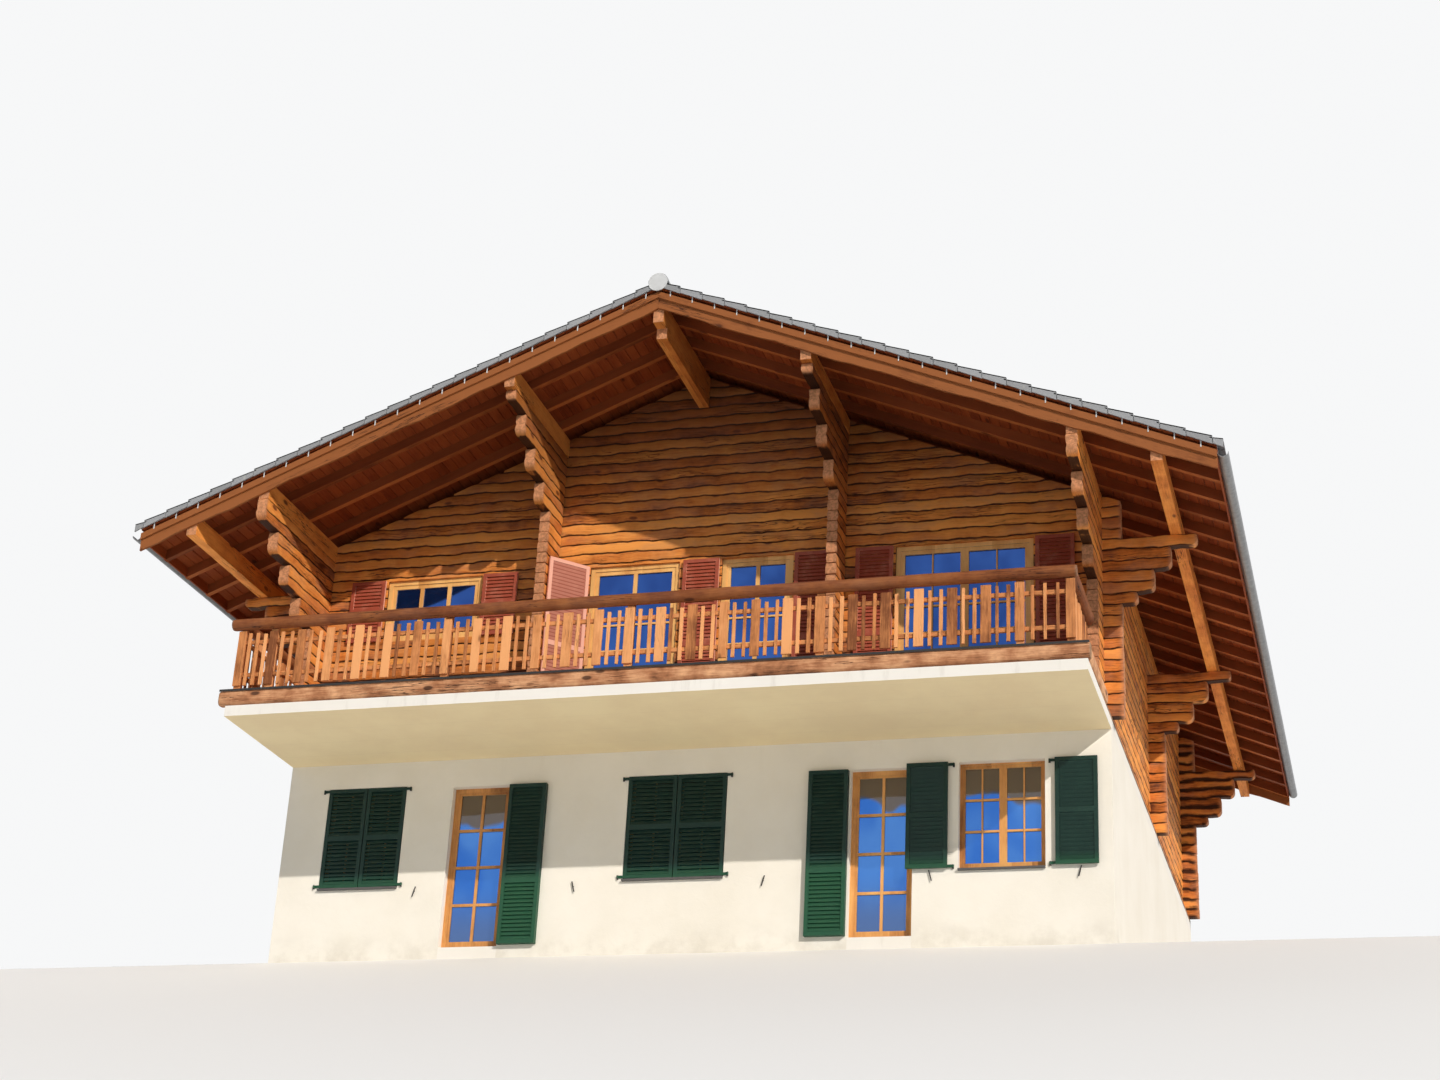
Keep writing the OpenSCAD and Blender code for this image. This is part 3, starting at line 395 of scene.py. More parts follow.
def glass_finish(name):
    """Panes whose colour is a painted reflection of a blue sky, a little wavy: greyer near the ground,
    deeper blue upstairs, and a painted reflection of the balcony's brown underside in the ground storey's top
    row."""
    f = Finish(name, Roughness=0.04, IOR=1.5, Metallic=0.85)
    at = f.place()
    x, y, z = at.parts()
    swell = f.noise(f.join(x * 1.6, y, z * 0.9), 1.1, 2.0, 0.5, 0.6)
    # Painted reflection: blue sky, greyer near the ground, brown balcony underside in the top row, deeper
    # blue upstairs.
    wave = swell.rise(0.3, 0.7)
    sky = f.mix(wave, (0.038, 0.165, 0.590), (0.080, 0.245, 0.670))
    sky = f.mix(z.rise(1.0, 0.3), sky, (0.100, 0.180, 0.400))
    sky = f.mix((swell * 0.5 + z).rise(2.08, 2.16), sky, (0.150, 0.130, 0.120))
    high = f.mix(wave, (0.020, 0.065, 0.270), (0.038, 0.115, 0.410))
    sky = f.mix(z.rise(2.6, 2.7), sky, high)
    return f.feed(Base_Color=sky, Normal=f.bump(f.noise(at, 0.9, 1.0), 0.02, 0.25))


# Hinge and turn of the upper leaf that stands half open
HALF_OPEN_X = -1.500
HALF_OPEN_Y = FRONT_AXIS - LOG_HALF
HALF_OPEN_TURN = math.radians(47)


def paint_finish(name, face, worn, streak, low=None, turned=None):
    """Paint or stain on louvres: brush lines and chalky wear. low is a lighter colour for the
    leaves' lower part, painted sunlight below the balcony's shadow line; turned is the paler colour of the
    half open leaf, partly worn paint and partly painted sunlight and sheen on a leaf turned to the sun, whose
    louvres get painted shade: darker than its frame and darkest at their deep lower edges."""
    f = Finish(name, Specular_IOR_Level=0.25)
    at = f.place()
    x, y, z = at.parts()
    brush = f.noise(f.join(x * 3.0, y * 3.0, z * 40.0), 3.0, 4.0, 0.6)
    wear = f.noise(at, 6.0, 5.0, 0.65).rise(0.45, 0.75)
    if low:
        # Painted sunlight: the leaves turn lighter below the balcony's shadow line.
        face = f.mix(z.rise(1.16, 0.96), face, low)
    colour = f.mix(brush.rise(0.3, 0.7) * 0.4, face, f.shade(face, 0.62))
    colour = f.mix(wear * streak, colour, worn)
    # Painted sunlight and sheen on the half open leaf, partly worn paint, and painted shade on its louvres,
    # darkest at their deep lower edges.
    if turned:
        nx, _, nz = f.facing()
        standing, louvre = nx.size().rise(0.15, 0.4), nz.size().rise(0.1, 0.3)
        colour = f.mix(standing * (0.8 - louvre * 0.45), colour, turned)
        depth = (x - HALF_OPEN_X) * math.sin(HALF_OPEN_TURN) - (y - HALF_OPEN_Y) * math.cos(HALF_OPEN_TURN)
        colour = f.mix(standing * louvre * depth.rise(0.0215, 0.0150) * 0.8, colour, f.shade(face, 0.8))
    return f.feed(Base_Color=colour, Roughness=wear * 0.2 + 0.45, Normal=f.bump(brush, 0.0006))


def iron_finish(name):
    """Black hinge iron, slightly pitted."""
    f = Finish(name, Metallic=0.6)
    pits = f.noise(f.place(), 90.0, 3.0, 0.6)
    colour = f.mix(pits, (0.018, 0.018, 0.020), (0.06, 0.055, 0.05))
    return f.feed(Base_Color=colour, Roughness=pits * 0.25 + 0.4, Normal=f.bump(pits, 0.0006))


def tile_finish(name):
    """Grey concrete tiles: each its own grey, sandy, with lichen and moss."""
    f = Finish(name)
    at = f.place()
    tone = f.attribute("marks").parts()[0]
    sand = f.noise(at, 120.0, 3.0, 0.7)
    cloud = f.noise(at, 2.2, 5.0, 0.65)
    colour = f.mix(cloud * 0.5 + tone * 0.5, (0.36, 0.375, 0.39), (0.235, 0.24, 0.245))
    lichen = f.cells(at, 9.0).rise(0.30, 0.12) * f.noise(at, 3.0, 4.0, 0.6).rise(0.52, 0.68)
    colour = f.mix(lichen * 0.45, colour, (0.50, 0.49, 0.40))
    moss = f.noise(at, 1.4, 5.0, 0.7).rise(0.58, 0.78) * f.noise(at, 22.0, 3.0, 0.6).rise(0.4, 0.7)
    colour = f.mix(moss * 0.35, colour, (0.10, 0.11, 0.06))
    bump = f.bump(sand * 0.6 + lichen * 0.3, 0.0018, 0.8)
    return f.feed(Base_Color=colour, Roughness=sand * 0.15 + 0.76, Normal=bump)


def cap_finish(name):
    """The pale end cap of the ridge."""
    f = Finish(name, Roughness=0.7)
    cloud = f.noise(f.place(), 8.0, 4.0, 0.6)
    colour = f.mix(cloud, (0.70, 0.72, 0.73), (0.50, 0.51, 0.50))
    return f.feed(Base_Color=colour, Normal=f.bump(cloud, 0.002, 0.4))


def zinc_finish(name):
    """Dull zinc of the gutters, with soft spangle and rain marks."""
    f = Finish(name, Metallic=0.75)
    at = f.place()
    x, y, z = at.parts()
    spangle = f.cells(at, 26.0, "Color").parts()[0]
    rain = f.noise(f.join(x * 2.0, y * 9.0, z * 1.2), 1.6, 4.0, 0.6)
    colour = f.mix(spangle * 0.4 + rain * 0.6, (0.40, 0.41, 0.42), (0.22, 0.225, 0.23))
    return f.feed(Base_Color=colour, Roughness=rain * 0.25 + 0.38, Normal=f.bump(spangle, 0.0004, 0.4))


LOG_MARKS = dict(knots=0.42, cracks=0.9, relief=0.003, tone_spread=0.24, patchy=0.4, hewn=2.0)
PINE_MARKS = dict(knots=0.0, fibre=0.35, rough=0.45, relief=0.0004, tone_spread=0.05, coat=0.25)
HONEY_MARKS = dict(fibre=0.7, rough=0.45, relief=0.0005, tone_spread=0.2, coat=0.2)
# Each timber finish: the way of its grain, its wood, and its marks
TIMBERS = {
    "log_hewn": ("own", "log", dict(LOG_MARKS, painted_roof_shade=0.8, joint_dark=0.95, grey=0.26)),
    "log_purlin": ("y", "log", dict(LOG_MARKS, painted_roof_shade=0.3)),
    "edge_log_wood": ("own", "edge", dict(knots=0.6, cracks=1.0, relief=0.003, hewn=1.5, patchy=0.6,
                                          tone_spread=0.3)),
    "hand_rail_wood": ("own", "hand", dict(knots=0.35, cracks=1.0, grey=0.1, relief=0.002, patchy=0.5)),
    "verge_wood": ("slope", "verge", dict(knots=0.4, cracks=1.0, relief=0.002, patchy=0.5)),
    "rail_board": ("own", "rail", dict(cracks=0.6, relief=0.0014, tone_spread=0.42, patchy=0.35)),
    "rail_post": ("z", "rail", dict(knots=0.4, cracks=0.4, relief=0.0014)),
    "rafter_wood": ("slope", "rafter", dict(knots=0.35, cracks=0.4, relief=0.0015, tone_spread=0.3,
                                            side=RAFTER_SIDE_SHADE)),
    "soffit_board": ("own", "soffit", dict(knots=0.45, relief=0.001, tone_spread=0.06)),
    "pine_frame": ("z", "pine", PINE_MARKS),
    "pine_bar": ("own", "pine", PINE_MARKS),
    "honey_frame": ("z", "honey", dict(HONEY_MARKS, knots=0.15)),
    "honey_bar": ("own", "honey", dict(HONEY_MARKS, knots=0.0)),
    "deck_board": ("own", "deck", dict(knots=0.3, cracks=0.4, grey=0.35, relief=0.0012, tone_spread=0.6)),
}
OTHERS = {
    "render_coat": render_finish, "slab_paint": slab_finish, "slate": stone_finish, "sky_glass": glass_finish,
    "black_iron": iron_finish, "grey_tile": tile_finish, "pale_cap": cap_finish, "dull_zinc": zinc_finish,
}
FINISHES = {name: timber(name, way, wood, **marks) for name, (way, wood, marks) in TIMBERS.items()}
FINISHES.update({name: make(name) for name, make in OTHERS.items()})
# low: painted sunlight on the lower part of the green leaves
FINISHES["green_louvre"] = paint_finish("green_louvre", (0.009, 0.034, 0.026), (0.020, 0.062, 0.046), 0.3,
                                        low=(0.020, 0.090, 0.046))
# turned: half open leaf, paler with painted sunlight and sheen, partly worn paint
FINISHES["red_louvre"] = paint_finish("red_louvre", (0.40, 0.085, 0.045), (0.60, 0.24, 0.15), 0.45,
                                      turned=(0.95, 0.50, 0.36))

NODE_FINISHES = {
    "render_coat": ["front_wall_left", "front_wall_middle", "front_wall_right", "lintel_left", "lintel_right",
                    "left_wall", "right_wall", "rear_wall"],
    "slab_paint": ["ground_floor", "balcony_slab"],
    "slate": ["window_sills"],
    "honey_frame": ["ground_window_frames", "door_frames", "door_left", "door_right"],
    "sky_glass": ["ground_glass", "upper_glass", "door_left_glass", "door_right_glass"],
    "green_louvre": [*(f"shutter_{i}_{side}" for i in (1, 2, 3) for side in ("left", "right")),
                     "door_shutters"],
    "red_louvre": ["upper_shutters"],
    "black_iron": ["shutter_pintles"],
    "pine_frame": ["upper_window_frames"],
    "log_purlin": ["ridge_purlin", "mid_purlins", "wall_purlins", "eave_purlins"],
    "rafter_wood": ["rafters_left", "rafters_right"],
    "verge_wood": ["verge_boards_front", "verge_boards_rear"],
    "grey_tile": ["ridge_tiles", "tiles_left", "tiles_right"],
    "pale_cap": ["ridge_caps"],
    "dull_zinc": ["gutters"],
    "rail_post": ["balustrade_posts"],
    "soffit_board": ["roof_boards_left", "roof_boards_right"],
    "deck_board": ["deck"],
    "hand_rail_wood": ["handrail"],
    "edge_log_wood": ["edge_logs"],
    "rail_board": ["balustrade_boards"],
    "log_hewn": ["front_log_wall", "rear_log_wall", "left_log_wall", "right_log_wall", "cross_wall_ends",
                 "front_consoles", "rear_consoles"],
}


def dress_frame():
    """Gives every frame node its finish."""
    for finish, nodes in NODE_FINISHES.items():
        for name in nodes:
            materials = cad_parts[name].data.materials
            materials.clear()
            materials.append(FINISHES[finish])


# Making of pieces

UP = np.array((0, 0, 1.0))


def show(name, data):
    """Puts an object into the scene, at the origin."""
    made = bpy.data.objects.new(name, data)
    bpy.context.scene.collection.objects.link(made)
    return made


def loft(rings):
    """Points and faces of a closed body: the rings, (count, points, 3), are joined one to the
    next by quads and closed by a flat face at both ends. The rings are turned so that every
    face points outwards, from the sum of their areas along the way of travel."""
    travel = np.gradient(rings.mean(1), axis=0)
    area = np.cross(rings, np.roll(rings, -1, 1)).sum(1)
    flip = (area * travel).sum() < 0
    if flip:
        rings = rings[:, ::-1]
    n, m = rings.shape[:2]
    i, j = np.mgrid[0:n - 1, 0:m]
    k = (j + 1) % m
    quads = np.stack([i * m + j, i * m + k, (i + 1) * m + k, (i + 1) * m + j], -1).reshape(-1, 4)
    caps = [list(range(m - 1, -1, -1)), list(range((n - 1) * m, n * m))]
    return rings.reshape(-1, 3), quads, caps, flip


class Piece:
    """Gathers closed bodies into one object. Each point keeps its place along, across and up
    its own timber, and three marks: the timber's tone, its nearness to an end, and to a joint."""

    def __init__(self, name):
        self.name = name
        self.points, self.faces, self.grain, self.marks = [], [], [], []
        self.count = 0

    def body(self, rings, tone, grain=None, tip=0.0, joint=0.0):
        """Adds a loft. grain fits the rings, which stand for it where it isn't given; tone, tip
        and joint fit (count, points)."""
        points, quads, caps, flip = loft(rings)
        grain = rings if grain is None else grain
        marks = np.stack([np.broadcast_to(v, rings.shape[:2]) for v in (tone, tip, joint)], -1)
        if flip:
            grain, marks = grain[:, ::-1], marks[:, ::-1]
        self.points.append(points)
        self.grain.append(grain.reshape(-1, 3))
        self.marks.append(marks.reshape(-1, 3))
        self.faces += (quads + self.count).tolist()
        self.faces += [[self.count + p for p in cap] for cap in caps]
        self.count += len(points)

    def bar(self, start, end, section, steps=1, tone=0.5, shift=0.0):
        """Adds a straight bar: a section of (across, up) points carried from start to end.
        Across is level and square to the bar, up is square to both."""
        start, end = np.array(start, float), np.array(end, float)
        length = np.linalg.norm(end - start)
        way = (end - start) / length
        side = np.cross(way, UP) if abs(way[2]) < 0.9 else np.array((0, 1.0, 0))
        side /= np.linalg.norm(side)
        t = np.linspace(0, 1, steps + 1)[:, None, None]
        section = np.asarray(section, float)
        rings = start + (end - start) * t + section[:, :1] * side + section[:, 1:] * np.cross(side, way)
        along = np.broadcast_to(t * length, (*rings.shape[:2], 1))
        grain = np.concatenate([along, np.broadcast_to(section, (*rings.shape[:2], 2))], -1)
        self.body(rings, tone, grain + shift)

    def finish(self, slot, finish, nodes=(), angle=32, body="house"):
        """Makes the object, smooth but for edges sharper than angle, hangs it on its body and hides the frame
        nodes that it replaces.
        """
        mesh = bpy.data.meshes.new(self.name)
        mesh.from_pydata(np.concatenate(self.points).tolist(), [], self.faces)
        for name, values in (("grain", self.grain), ("marks", self.marks)):
            layer = mesh.attributes.new(name, "FLOAT_VECTOR", "POINT")
            layer.data.foreach_set("vector", np.concatenate(values).astype(np.float32).ravel())
        mesh.polygons.foreach_set("use_smooth", np.ones(len(mesh.polygons), bool))
        mesh.set_sharp_from_angle(angle=math.radians(angle))
        mesh.materials.append(FINISHES[finish])
        made = show(self.name, mesh)
        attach(made, body)
        if nodes:
            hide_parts(*nodes)


def wander(u, seed, lengths=(2.9, 1.3, 0.61, 0.27), weights=(0.9, 0.7, 0.5, 0.3)):
    """A line that wanders between about -1 and 1: the sum of sines of the given wave lengths,
    each with a phase of its own and a weight, shared out over their sum."""
    phases = np.random.default_rng(seed).uniform(0, 2 * np.pi, len(lengths))
    waves = [w * np.sin(2 * np.pi * u / l + p) for l, w, p in zip(lengths, weights, phases)]
    return sum(waves) / sum(weights)


def eased(width, height, ease):
    """Rectangle round the origin with its corners cut back by ease."""
    w, h = width / 2, height / 2
    return [(-w + ease, -h), (w - ease, -h), (w, -h + ease), (w, h - ease),
            (w - ease, h), (-w + ease, h), (-w, h - ease), (-w, -h + ease)]


# Log walls

FACE_POINTS = np.sin(np.linspace(-1, 1, 9) * np.pi / 2) / 2 + 0.5
BACK_POINTS = np.array([1.0, 0.5, 0.0])
FACE_POWER = 2.7
GROOVE_WANDER = 0.020
GROOVE_WAVES = (1.7, 0.74, 0.36, 0.19)
GROOVE_WEIGHTS = (0.7, 0.8, 0.7, 0.45)
FACE_WANDER = 0.005
FINE_WANDER = 0.6
STEP_R = 0.105
STEP_TOP_R = 0.040
END_R = 0.014
END_GRAIN = 0.05
END_PLAY = 0.012
LEAST_H = 0.0015


class Wall:
    """A wall of stacked logs. Neighbouring courses share their wandering groove, so the wall
    has no gaps. way is "x" or "y", axis its middle line, out the side that is seen; both
    says that the other side shows as well."""

    def __init__(self, piece, way, axis, out, step, seed, both=False):
        self.piece, self.way, self.axis, self.step, self.seed = piece, way, axis, step, seed
        back = FACE_POINTS[::-1] if both else BACK_POINTS
        self.share = np.concatenate([FACE_POINTS, back])
        self.side = out * np.repeat([1, -1], [len(FACE_POINTS), len(back)])
        self.rng = np.random.default_rng(seed)
        self.tones = self.rng.uniform(0, 1, ALL_COURSES + 2)

    def groove(self, k, u):
        """Height of the groove under course k: the level course line and a wandering share."""
        free = GROOVE_WANDER if k > 0 else 0.0
        return LOG_Z + k * LOG_H + free * wander(u, (self.seed, k), GROOVE_WAVES, GROOVE_WEIGHTS)

    def log(self, k, u0, u1, end0=None, end1=None, floor=None, roof=None):
        """Course k between u0 and u1. end0 and end1 say that the log ends there in the open, as
        (lowest course, top course) of the step that it belongs to; else it is cut square.
        floor is a height that cuts it below, roof a height or a function of u that cuts it above.
        Section: half thickness = groove half + (log half - groove half + wander) * bulge, where
        bulge = 1 - |2s - 1| ** power and s runs from groove to groove."""
        u = self.stations(u0, u1, end0, end1)
        under, over = low, high = self.groove(k, u), self.groove(k + 1, u)
        far = [0 * u]
        for distance, end in ((u - u0, end0), (u1 - u, end1)):
            if end:
                under, over = self.round_end(distance, end, under, over)
                far.append(np.clip(1 - distance / END_GRAIN, 0, 1))
        if floor is not None:
            under = np.maximum(under, floor)
        if roof is not None:
            over = np.minimum(over, roof(u) if callable(roof) else roof)
        keep = np.flatnonzero(over - under > LEAST_H)
        if len(keep) < 2:
            return
        shown = slice(keep[0], keep[-1] + 1)
        u, low, high, under, over, tip = (a[shown, None] for a in (u, low, high, under, over, np.max(far, 0)))
        over = np.maximum(over, under + LEAST_H)
        z = under + (over - under) * self.share
        s = np.clip((z - low) / (high - low), 0, 1)
        bulge = 1 - np.abs(2 * s - 1) ** FACE_POWER
        u = np.broadcast_to(u, z.shape)
        rough = wander(u * 1.7 + z * 3.0, (self.seed, k, 1)) - 1
        rough = rough + FINE_WANDER * (wander(z * 6.0 + u * 0.6, (self.seed, k, 2)) - 1)
        half = GROOVE_HALF + (LOG_HALF - GROOVE_HALF + FACE_WANDER * rough) * bulge
        across = self.axis + self.side * half
        rings = np.stack((u, across, z) if self.way == "x" else (across, u, z), -1)
        grain = np.stack([u, self.side * half, (s - 0.5) * LOG_H], -1)
        self.piece.body(rings, self.tones[k], grain, tip, np.clip(1 - bulge * 1.5, 0, 1))

    def stub(self, k, root, tip, end):
        """Course k from a hidden root to an open tip, on either side of it."""
        if tip < root:
            self.log(k, tip, root, end0=end)
        else:
            self.log(k, root, tip, end1=end)

    def stations(self, u0, u1, end0, end1):
        """Places along a log: even steps, and closer ones round its open ends."""
        even = np.linspace(u0, u1, max(2, math.ceil((u1 - u0) / self.step) + 1))
        close = np.outer((STEP_R, STEP_TOP_R, END_R), 1 - np.cos(np.linspace(0, np.pi / 2, 6))).ravel()
        ends = [place for place, end in ((u0 + close, end0), (u1 - close, end1)) if end]
        u = np.unique(np.round(np.concatenate([even, *ends]), 5))
        return u[(u >= u0) & (u <= u1)]

    @staticmethod
    def round_end(d, end, under, over):
        """Cuts a log's end, at distance d from its tip, to the round outline of its step: a large
        arc below and a small one above, each radius - sqrt(radius ** 2 - (radius - d) ** 2)."""
        k0, k1 = end
        bottom, top = LOG_Z + k0 * LOG_H, LOG_Z + max(k1, k0 + 1) * LOG_H
        radii = (END_R, END_R) if k0 == k1 else (min(STEP_R, (top - bottom) / 2), STEP_TOP_R)
        foot, head = (r - np.sqrt(np.clip(r ** 2 - np.clip(r - d, 0, r) ** 2, 0, None)) for r in radii)
        return np.maximum(under, bottom + foot), np.minimum(over, top - head)


LOG_END = 0.310
LOG_END_FRONT = 0.590
FRONT_TIPS = FRONT_AXIS - LOG_END_FRONT
REAR_TIPS = REAR_AXIS + LOG_END
CONSOLE_STEP = 0.420
CORBEL_REACH, CORBEL_FIRST, CORBEL_STEP = 0.260, 0.115, 0.215
CUT_PLAY = 0.002


def steps(tip, back, top, first):
    """Tips of a stepped console, by course: from its top course down, the first step is first
    courses high and the others two, each set back by one console step."""
    found = {}
    way = 1 if back > tip else -1
    k0 = top
    for j in range(int(abs(back - tip) / CONSOLE_STEP + 1e-6) + 1):
        k0, k1 = k0 - (2 if j else first), k0
        for k in range(k0, k1):
            found[k] = (tip + way * j * CONSOLE_STEP, (k0, k1))
    return found


def corbel_tips():
    """Half lengths of the courses that reach out under the eave purlins, in four steps."""
    found = {}
    k0 = EAVE_COURSES
    for j, high in enumerate((1, 2, 2, 1)):
        k0, k1 = k0 - high, k0
        tip = EAVE_AXIS + CORBEL_REACH - (CORBEL_FIRST if j else 0) - j * CORBEL_STEP
        for k in range(k0, k1):
            found[k] = (tip, (k0, k1))
    return found


def roof_line(x):
    """Underside of the rafters over x."""
    return ROOF_UNDER - ROOF_CLEAR - SLOPE * np.abs(x)


def gable_wall(name, axis, out, step, seed, openings):
    """Front or rear log wall: full logs with notched ends and corbels, and the gable above.
    openings are (left, right, foot, head)."""
    wall = Wall(Piece(name), "x", axis, out, step, seed)
    corbels = corbel_tips()
    for k in range(ALL_COURSES):
        z0, z1 = LOG_Z + k * LOG_H, LOG_Z + (k + 1) * LOG_H
        reach, end = corbels.get(k, (SIDE_AXIS + LOG_END, (k, k)))
        if k < EAVE_COURSES and k not in corbels:
            reach -= wall.rng.uniform(0, END_PLAY)
        limit = (ROOF_UNDER - z0) / SLOPE
        if limit < reach:
            reach, end = limit, None
        left, left_end = -reach, end
        for x0, x1, foot, head in openings:
            if foot > z1 - CUT_PLAY or head < z0 + CUT_PLAY or x0 < -reach:
                continue
            wall.log(k, left, x0, left_end, roof=roof_line)
            if head < z1 - 2 * CUT_PLAY:
                wall.log(k, x0, x1, floor=head, roof=roof_line)
            if foot > z0 + 2 * CUT_PLAY:
                wall.log(k, x0, x1, roof=foot)
            left, left_end = x1, None
        wall.log(k, left, reach, left_end, end, roof=roof_line)
    return wall.piece


def side_wall(name, side, seed):
    """Left or right log wall, from its stepped front end to its stepped rear end."""
    wall = Wall(Piece(name), "y", side * SIDE_AXIS, side, 0.16, seed, both=True)
    low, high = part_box("left_log_wall")
    front, rear = steps(low.y, FRONT_TIPS, SIDE_COURSES, 2), steps(high.y, REAR_TIPS, SIDE_COURSES, 2)
    for k in range(SIDE_COURSES):
        y0, end0 = front.get(k, (FRONT_TIPS + wall.rng.uniform(0, END_PLAY), (k, k)))
        y1, end1 = rear.get(k, (REAR_TIPS - wall.rng.uniform(0, END_PLAY), (k, k)))
        wall.log(k, y0, y1, end0, end1)
    return wall.piece


def consoles(name, node, axis, tips, seed):
    """The ends of the two inner log walls, with the stepped consoles under the mid purlins."""
    piece = Piece(name)
    way = 1 if tips < axis else -1
    stepped = steps(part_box(node)[0 if way > 0 else 1].y, tips, MID_COURSES, 1)
    for side in (-1, 1):
        wall = Wall(piece, "y", side * INNER_AXIS, 1, 0.10, (seed, side + 1))
        for k in range(MID_COURSES):
            tip, end = stepped.get(k, (tips + way * wall.rng.uniform(0, END_PLAY), (k, k)))
            wall.stub(k, axis, tip, end)
    return piece


def cross_ends(name, seed):
    """Ends of the cross wall's logs, outside both side walls, with their corbels."""
    piece = Piece(name)
    corbels = corbel_tips()
    for side in (-1, 1):
        wall = Wall(piece, "x", CROSS_AXIS, -1, 0.10, (seed, side + 1))
        for k in range(EAVE_COURSES):
            reach, end = corbels.get(k, (SIDE_AXIS + LOG_END - wall.rng.uniform(0, END_PLAY), (k, k)))
            wall.stub(k, side * (SIDE_AXIS - LOG_HALF + 0.01), side * reach, end)
    return piece


OPEN_HEAD = LOG_Z + 2.500
DOOR_FOOT = LOG_Z + 0.070
FRONT_OPENINGS = [(-4.430, -3.040, LOG_Z + 1.600, OPEN_HEAD), (-1.470, -0.210, DOOR_FOOT, OPEN_HEAD),
                  (0.380, 1.360, DOOR_FOOT, OPEN_HEAD), (2.740, 4.540, DOOR_FOOT, OPEN_HEAD)]
REAR_WINDOW_W = 1.100
REAR_OPENINGS = [(x - REAR_WINDOW_W / 2, x + REAR_WINDOW_W / 2, LOG_Z + 1.150, OPEN_HEAD)
                 for x in (-3.600, 0.0, 3.600)]


def make_logs():
    made = [
        (gable_wall("front_logs", FRONT_AXIS, -1, 0.07, 11, FRONT_OPENINGS), "front_log_wall"),
        (gable_wall("rear_logs", REAR_AXIS, 1, 0.16, 12, REAR_OPENINGS), "rear_log_wall"),
        (side_wall("left_logs", -1, 13), "left_log_wall"),
        (side_wall("right_logs", 1, 14), "right_log_wall"),
        (consoles("front_console_logs", "front_consoles", FRONT_AXIS, FRONT_TIPS, 15), "front_consoles"),
        (consoles("rear_console_logs", "rear_consoles", REAR_AXIS, REAR_TIPS, 16), "rear_consoles"),
        (cross_ends("cross_wall_logs", 17), "cross_wall_ends"),
    ]
    for piece, node in made:
        piece.finish("log", "log_hewn", [node])


# Roof covering

COURSE_W = 0.305
TILE_W = 0.300
TILE_T = 0.016
TILE_LAP = 0.03
TILE_CLEAR = 0.0016
TILE_PLAY = 0.0015
COURSE_STEP = 0.028
FLANGE_T = 0.022
FLANGE_H = 0.105
FLANGE_TOOTH = 0.012
FLANGE_INSET = 0.004
FLANGE_REACH = 0.038
FLANGE_PLAY = 0.004
TILE_ROLL = 0.014
BATTEN_T = 0.04
# Places over a tile's width: flat pans, a roll in the middle and one over the side joint
TILE_V = np.array([0, 0.2, 0.395, 0.45, 0.5, 0.55, 0.605, 0.8, 0.895, 0.95, 1.0])
ROLL_HALF = 0.105


def tile_rise(v):
    """Height of a tile's surface over its width, v from 0 to 1: flat pans with two low rolls,
    one in the middle and one at the side joint. A roll is roll height * cos, which falls to 0
    at half its width."""
    wave = np.pi / 2 / ROLL_HALF
    roll = np.maximum(0, np.cos((v - 0.5) * wave)) * (np.abs(v - 0.5) < ROLL_HALF)
    lap = np.maximum(0, np.cos((v - 1.0) * wave)) * (v > 1 - ROLL_HALF)
    return TILE_ROLL * (roll + lap)


def upright(x, y0, y1, z0, z1):
    """Corners of an upright rectangle at x."""
    return [(x, y0, z0), (x, y1, z0), (x, y1, z1), (x, y0, z1)]


def tile_field(side):
    """One side's tiles, course over course, each a thin body that lies on the one below it.
    The outermost tiles have a flange down over the verge board."""
    piece = Piece("tiles_right_side" if side > 0 else "tiles_left_side")
    rng = np.random.default_rng(30 + side)
    columns = round((TILE_Y1 - TILE_Y0) / TILE_W)
    width = (TILE_Y1 - TILE_Y0) / columns
    for i in range(math.ceil(ROOF_HALF / COURSE_W)):
        low, high = min((i + 1) * COURSE_W, ROOF_HALF), max(i * COURSE_W - TILE_LAP, 0.02)
        for j in range(columns):
            tone, lift = rng.uniform(), rng.uniform(-TILE_PLAY, TILE_PLAY)
            y = TILE_Y0 + (j + TILE_V) * width
            rise = tile_rise(TILE_V)
            if j == columns - 1:
                rise = np.where(TILE_V > 0.7, 0, rise)
            rings = []
            for x, drop in ((low, 0.0), (high, COURSE_STEP + 0.002)):
                top = TILE_Z - SLOPE * x - drop - TILE_ROLL - TILE_CLEAR + rise + lift
                z = np.concatenate([top, (top - TILE_T)[::-1]])
                rings.append(np.stack([np.full_like(z, side * x), np.concatenate([y, y[::-1]]), z], -1))
            piece.body(np.array(rings), tone)
        for y0, y1 in ((TILE_Y0, TILE_Y0 + FLANGE_T), (TILE_Y1 - FLANGE_T, TILE_Y1)):
            add_flange(piece, side, low, high, y0, y1, rng)
    y0, y1 = TILE_Y0 + 0.025, TILE_Y1 - 0.025
    under = [(side * x, y0, y1, COVER_Z - SLOPE * x, COVER_Z - SLOPE * x + BATTEN_T) for x in (0.0, TAIL_X)]
    piece.body(np.array([upright(*edge) for edge in under]), 0.5)
    return piece


def add_flange(piece, side, low, high, y0, y1, rng):
    """The downward flange of a verge tile, from its lower edge almost up to the next tile. Its
    foot falls a little more than the roof does, so that the tiles show as a row of teeth."""
    y0, y1 = y0 + FLANGE_INSET * (y0 > 0), y1 - FLANGE_INSET * (y0 < 0)
    drop = rng.uniform(0, FLANGE_PLAY)
    rings = []
    for x, shift, tooth in ((low, 0.0, 0.0), (high + FLANGE_REACH, COURSE_STEP * 0.9, FLANGE_TOOTH)):
        top = TILE_Z - SLOPE * x - shift - TILE_ROLL - 0.004
        rings.append(upright(side * x, y0, y1, top - FLANGE_H + shift - drop + tooth, top))
    piece.body(np.array(rings), rng.uniform())


BOARD_W = 0.125
BOARD_GAP = 0.004
BOARD_EASE = 0.006
SOFFIT_T = 0.024


